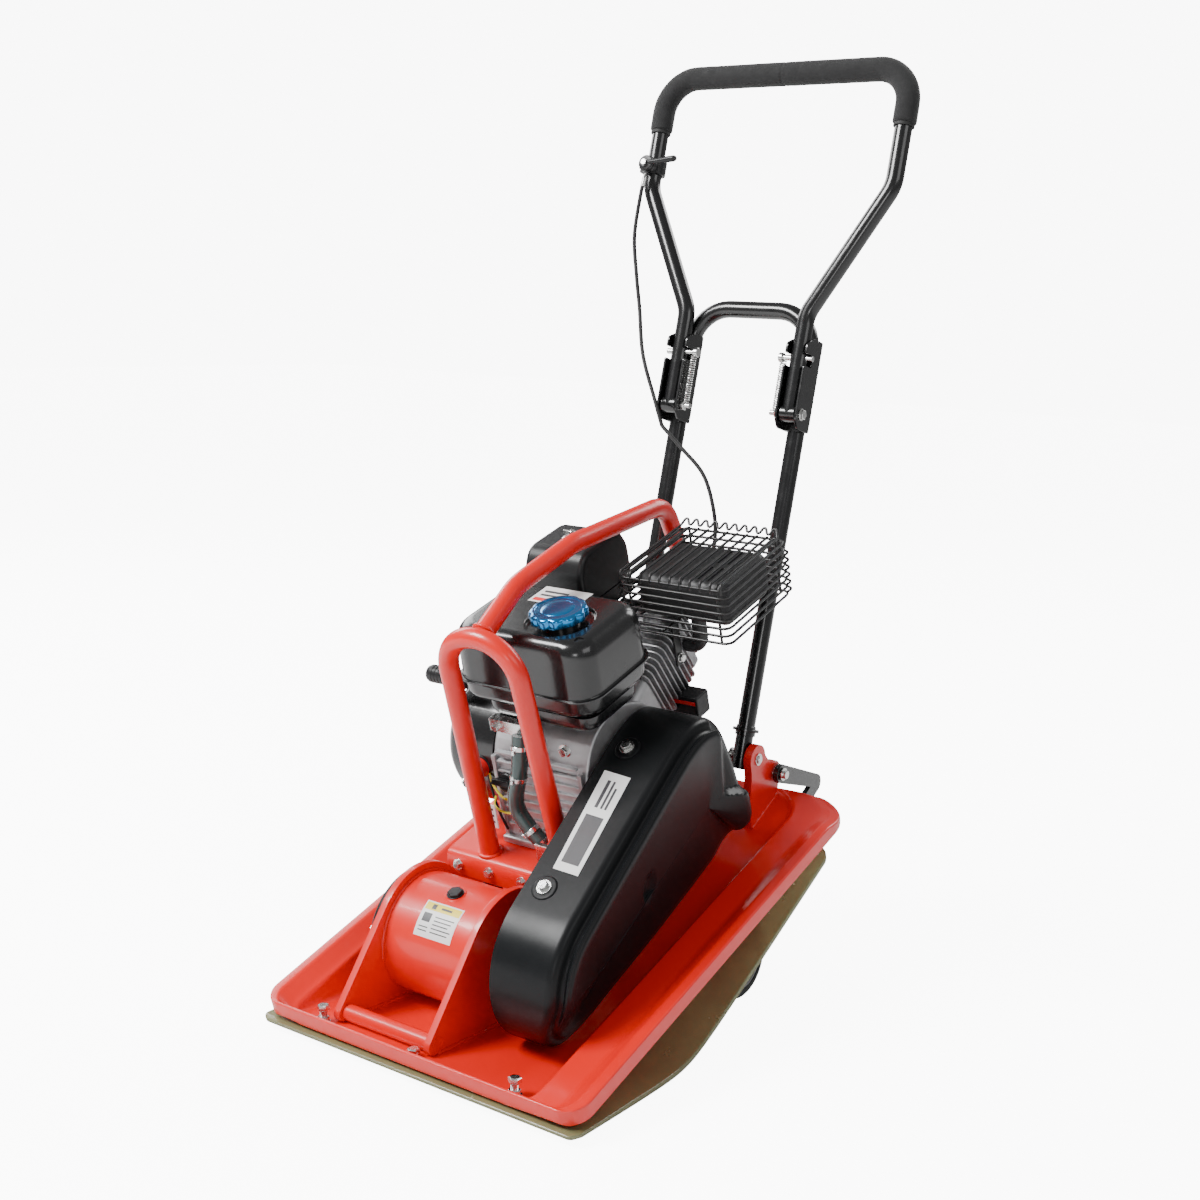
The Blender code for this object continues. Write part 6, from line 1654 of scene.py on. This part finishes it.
def build_lugs():
    for tag, side in (("left", -1), ("right", 1)):
        line = [(0.612, deck(0.612)), (0.612, 0.020), (0.628, 0.060)]
        line += arc((0.650, 0.080), 0.021, 190, -10, 20)
        line += [(0.682, 0.056), (0.702, 0.050), (0.708, 0.035), (0.700, 0.018), (0.690, deck(0.690))]
        x0, x1 = sorted((side * 0.1155, side * 0.1275))
        reach = [0.001, 0.012, 0.010] + [0.003] * 20 + [0.010, 0.008, 0.008, 0.008, 0.001]
        plate = prism(soft_outline(line, reach, 3), x0, x1, 0.0011, 2)
        foot, pivot = Vector((0.0, 0.650, 0.080)), Vector((0.0, 0.690, 0.035))
        pins = [rod(foot + Vector((side * 0.0835, 0, 0)), foot + Vector((side * 0.120, 0, 0)), 0.0064, 32,
                    0.0006),
                rod(pivot + Vector((side * 0.120, 0, 0)), pivot + Vector((side * 0.148, 0, 0)), 0.0062, 32,
                    0.0006)]
        put(plate, "lug_plate_" + tag, "red_paint", "chassis", ["handle_lug_" + tag])
        put(joined(pins), "lug_pins_" + tag, "zinc")
        out = Vector((side, 0, 0))
        put(hex_bolt(foot + out * 0.1276, out, 0.011, 0.0020, 0.0090), "lug_screw_" + tag, "zinc")
        put(lathe(foot + out * 0.0838, -out, [(-0.0010, 0.0096), (0.0, 0.0098), (0.0010, 0.0098),
                                              (0.0013, 0.0092)], 32),
            "lug_washer_" + tag, "zinc")
        clip = hollow(pivot + out * 0.1420, out, [(0, 0.0060), (0.0012, 0.0060), (0.0012, 0.0094),
                                                  (0, 0.0094)], 32)
        put(clip, "kit_clip_" + tag, "zinc")
        for face_tag, x in (("in", side * 0.1155), ("out", side * 0.1275)):
            path = [(x, y, deck(y) + 0.0008) for y in [0.612 + 0.0097 * k for k in range(9)]]
            put(bead(path, 0.0030), "weld_lug_%s_%s" % (tag, face_tag), "red_paint", smooth=60)


def build_throttle():
    centre = on_handle(0.840, FOLD_N, -GRIP_X)
    ring = [(0.0, 0.0131), (0.022, 0.0131), (0.022, 0.0166), (0.0214, 0.0174), (0.0120, 0.0175),
            (0.0116, 0.0171),
            (0.0104, 0.0171), (0.0100, 0.0175), (0.0006, 0.0174), (0.0, 0.0166)]
    seat = on_handle(0.851, FOLD_N + 0.0155, -GRIP_X)
    disc = lathe(seat, HANDLE_FRONT, [(-0.004, 0.0125), (0.0062, 0.0125), (0.0072, 0.0120),
                                      (0.0075, 0.0112)], 48)
    ear = oriented_box(on_handle(0.851, FOLD_N, -GRIP_X - 0.0190), (X_AXIS, HANDLE_UP, HANDLE_FRONT),
                       (0.0035, 0.0080, 0.0070), 0.0012, 2)
    put(joined([hollow(centre, HANDLE_UP, ring, 56), disc, ear]), "throttle_mount", "black_plastic",
        "handle_upper",
        ["throttle_clamp"])
    screw = hex_bolt(on_handle(0.851, FOLD_N + 0.0070, -GRIP_X - 0.0190), HANDLE_FRONT, 0.008, 0.004)
    put(screw, "throttle_screw", "zinc", "handle_upper")
    pivot = seat + HANDLE_FRONT * 0.0078
    cap = lathe(pivot, HANDLE_FRONT, [(0.0, 0.0116), (0.0006, 0.0120), (0.0044, 0.0120), (0.0056, 0.0110),
                                      (0.0064, 0.0070), (0.0080, 0.0064)], 48)
    root = pivot + HANDLE_FRONT * 0.0048
    end = root + Vector((0.054, 0, 0)) + HANDLE_UP * 0.006
    way = (end - root).normalized()
    along = [root + way * (0.054 * k / 24) for k in range(25)]
    radii = [0.0036 + 0.0012 * min(1.0, max(0.0, (k - 8) / 10)) for k in range(23)] + [0.0044, 0.0028]
    arm = tube(along, radii, 24)
    put(joined([cap, arm]), "throttle_arm", "black_plastic", "throttle", ["throttle_lever"])
    nut_top = lathe(pivot + HANDLE_FRONT * 0.0076, HANDLE_FRONT, [(0, 0.0052), (0.0028, 0.0052),
                                                                  (0.0034, 0.0044)], 6)
    put(nut_top, "throttle_nut", "zinc", "throttle")


# Where the throttle cable runs, as (x, along the handle, in front of it), then as (x, y, z).
CABLE_UPPER = ((-0.201, 0.8280, 0.0500), (-0.203, 0.800, 0.0500), (-0.204, 0.740, 0.046), (-0.190, 0.680,
                                                                                           0.043),
               (-0.176, 0.631, 0.041), (-0.150, 0.560, 0.050), (-0.112, 0.492, 0.055))
CABLE_LOWER = ((-0.0945, 0.8420, 0.4965), (-0.060, 0.832, 0.470), (-0.018, 0.818, 0.438), (0.006, 0.798,
                                                                                           0.400),
               (0.016, 0.780, 0.360), (0.012, 0.760, 0.315), (-0.004, 0.738, 0.270), (-0.026, 0.708, 0.240),
               (-0.050, 0.690, 0.238), (-0.072, 0.675, 0.252), (-0.092, 0.660, 0.262))


def build_cables():
    upper = [on_handle(t, n, x) for x, t, n in CABLE_UPPER] + [Vector(CABLE_LOWER[0])]
    for name, node, route, pair in (("cable_upper", "throttle_cable_upper", upper, ("handle_lower",
                                                                                    "handle_upper")),
                                    ("cable_lower", "throttle_cable_lower",
                                     [Vector(p) for p in CABLE_LOWER],
                                     ("chassis", "handle_lower"))):
        path = resample(spline(route, 14), 150)
        sheath = tube(path, 0.0030, 18)
        sheath.name = name
        sheath.data.name = name
        finish_mesh(sheath, "rubber", 60)
        sheath.data.transform(MACHINE)
        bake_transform(sheath)
        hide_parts(node)
    top, way = upper[0], (upper[0] - upper[1]).normalized()
    put(lathe(top - way * 0.012, way, [(0, 0.0034), (0.0004, 0.0038), (0.0140, 0.0038), (0.0150, 0.0030),
                                       (0.020, 0.0016)],
              24), "cable_ferrule_top", "zinc", "handle_upper")
    foot = Vector(CABLE_LOWER[-1])
    way = (foot - Vector(CABLE_LOWER[-2])).normalized()
    put(lathe(foot - way * 0.010, way, [(0, 0.0034), (0.0004, 0.0038), (0.0120, 0.0038), (0.0130, 0.0020),
                                        (0.018, 0.0014)],
              24), "cable_ferrule_low", "zinc")


# ---- wheel kit -----------------------------------------------------------------------------------------------
def build_wheels():
    hub = joint_place("wheel_left_spin")
    axle = MACHINE.inverted() @ Vector((0.0, hub.y, hub.z))
    parts = [rod(axle + Vector((-0.204, 0, 0)), axle + Vector((0.204, 0, 0)), 0.0080, 36, 0.0008)]
    brace = Vector((0.0, 0.520, axle.z + 0.060 * 0.257))
    parts.append(rod(brace + Vector((-0.1355, 0, 0)), brace + Vector((0.1355, 0, 0)), 0.0070, 32))
    elbow, start, end, wide = Vector((0.785, -0.037)), Vector((0.690, 0.035)), Vector((axle.y, axle.z)), 0.0140
    line = arc(start, wide, 225, 45, 16)
    line += arc(elbow, wide, 55, -75, 12)
    line += arc(end, wide, 285, 105, 16)
    line.append((elbow.x - 0.020, elbow.y + 0.005))
    for side in (-1, 1):
        tag = "left" if side < 0 else "right"
        x0, x1 = sorted((side * 0.132, side * 0.140))
        arm = prism(line, x0, x1)
        cut(arm, rod((x0 - 0.01, start.x, start.y), (x1 + 0.01, start.x, start.y), 0.0067, 32))
        parts.append(bevelled(arm, 0.0009, 2, 50))
        cap = axle + Vector((side * 0.1985, 0, 0))
        put(lathe(cap, (side, 0, 0), [(-0.001, 0.0118), (0.0, 0.0125), (0.0036, 0.0125), (0.0056, 0.0108),
                                      (0.0065, 0.0085)],
                  40), "axle_cap_" + tag, "zinc", "wheel_kit")
        centre = axle + Vector((side * 0.1735, 0, 0))
        tyre = [(-0.0200, 0.0405), (-0.0200, 0.0450), (-0.0180, 0.0505), (-0.0150, 0.0542),
                (-0.0110, 0.0560)]
        for k in range(-2, 3):
            h = 0.0046 * k
            tyre += [(h - 0.0014, 0.0560), (h - 0.0009, 0.0548), (h + 0.0009, 0.0548), (h + 0.0014, 0.0560)]
        tyre += [(0.0110, 0.0560), (0.0150, 0.0542), (0.0180, 0.0505), (0.0200, 0.0450), (0.0200, 0.0405),
                 (0.0175, 0.0398), (0.0, 0.0392), (-0.0175, 0.0398)]
        rim = [(-0.0200, 0.0084), (0.0200, 0.0084), (0.0200, 0.0190), (0.0190, 0.0200), (0.0100, 0.0210),
               (0.0070, 0.0225), (0.0070, 0.0350), (0.0100, 0.0370), (0.0180, 0.0380), (0.0185, 0.0396),
               (-0.0185, 0.0396), (-0.0180, 0.0380), (-0.0100, 0.0370), (-0.0070, 0.0350),
               (-0.0070, 0.0225),
               (-0.0100, 0.0210), (-0.0190, 0.0200), (-0.0200, 0.0190)]
        spokes = [hollow(centre, (side, 0, 0), rim, 72)]
        for k in range(6):
            out, across = spoke(60 * k)
            spokes.append(oriented_box(centre + out * 0.0285, (X_AXIS, out, across), (0.0150, 0.0098,
                                                                                      0.0016),
                                       0.0006, 1))
        body = "wheel_l" if side < 0 else "wheel_r"
        put(hollow(centre, (side, 0, 0), tyre, 96), "tyre_" + tag, "rubber", body, ["wheel_" + tag])
        put(joined(spokes), "wheel_disc_" + tag, "wheel_hub", body)
    put(joined(parts), "axle_frame", "black_paint", "wheel_kit", ["wheel_frame"])


# ---- floor and light ----------------------------------------------------------------------------------
def build_studio():
    plane = skin([[Vector((x, y, z)) for x, y in ((-14, -14), (14, -14), (14, 14),
                                                  (-14, 14))] for z in (-0.02, -0.0004)])
    plane.name = "floor"
    plane.data.materials.append(FINISHES["floor"])
    lights = (("key", (-1.9, -2.5, 3.6), 1.9, 330.0), ("fill", (3.6, -0.8, 2.4), 2.2, 24.0),
              ("rear", (0.8, 3.6, 3.0), 2.4, 90.0), ("left", (-3.4, 1.2, 2.4), 2.2, 70.0),
              ("edge", (1.9, -3.2, 1.1), 0.9, 13.0))
    for name, place, size, power in lights:
        data = bpy.data.lights.new("light_" + name, "AREA")
        data.shape = "RECTANGLE"
        data.size, data.size_y = size, size * 0.7
        data.energy = power
        lamp = bpy.data.objects.new("light_" + name, data)
        lamp.location = place
        lamp.rotation_euler = (Vector((0, 0, 0.5)) - Vector(place)).to_track_quat("-Z", "Y").to_euler()
        bpy.context.scene.collection.objects.link(lamp)
    world = bpy.data.worlds.new("studio")
    world.use_nodes = True
    world.node_tree.nodes["Background"].inputs["Color"].default_value = (1.0, 1.0, 1.0, 1)
    seen_only_by_camera(world.node_tree, (0.32, 9.0),
                        world.node_tree.nodes["Background"].inputs["Strength"])
    bpy.context.scene.world = world


for build in (build_tray, build_pad, build_pad_screws, build_exciter, build_exciter_label, build_belt,
              build_cover,
              build_bed, build_lifting_frame, build_engine, build_crank_train, build_covers, build_tank,
              build_filter,
              build_exhaust, build_guard, build_trim, build_lower_handle, build_upper_handle, build_lugs,
              build_throttle, build_cables, build_wheels, build_studio):
    build()
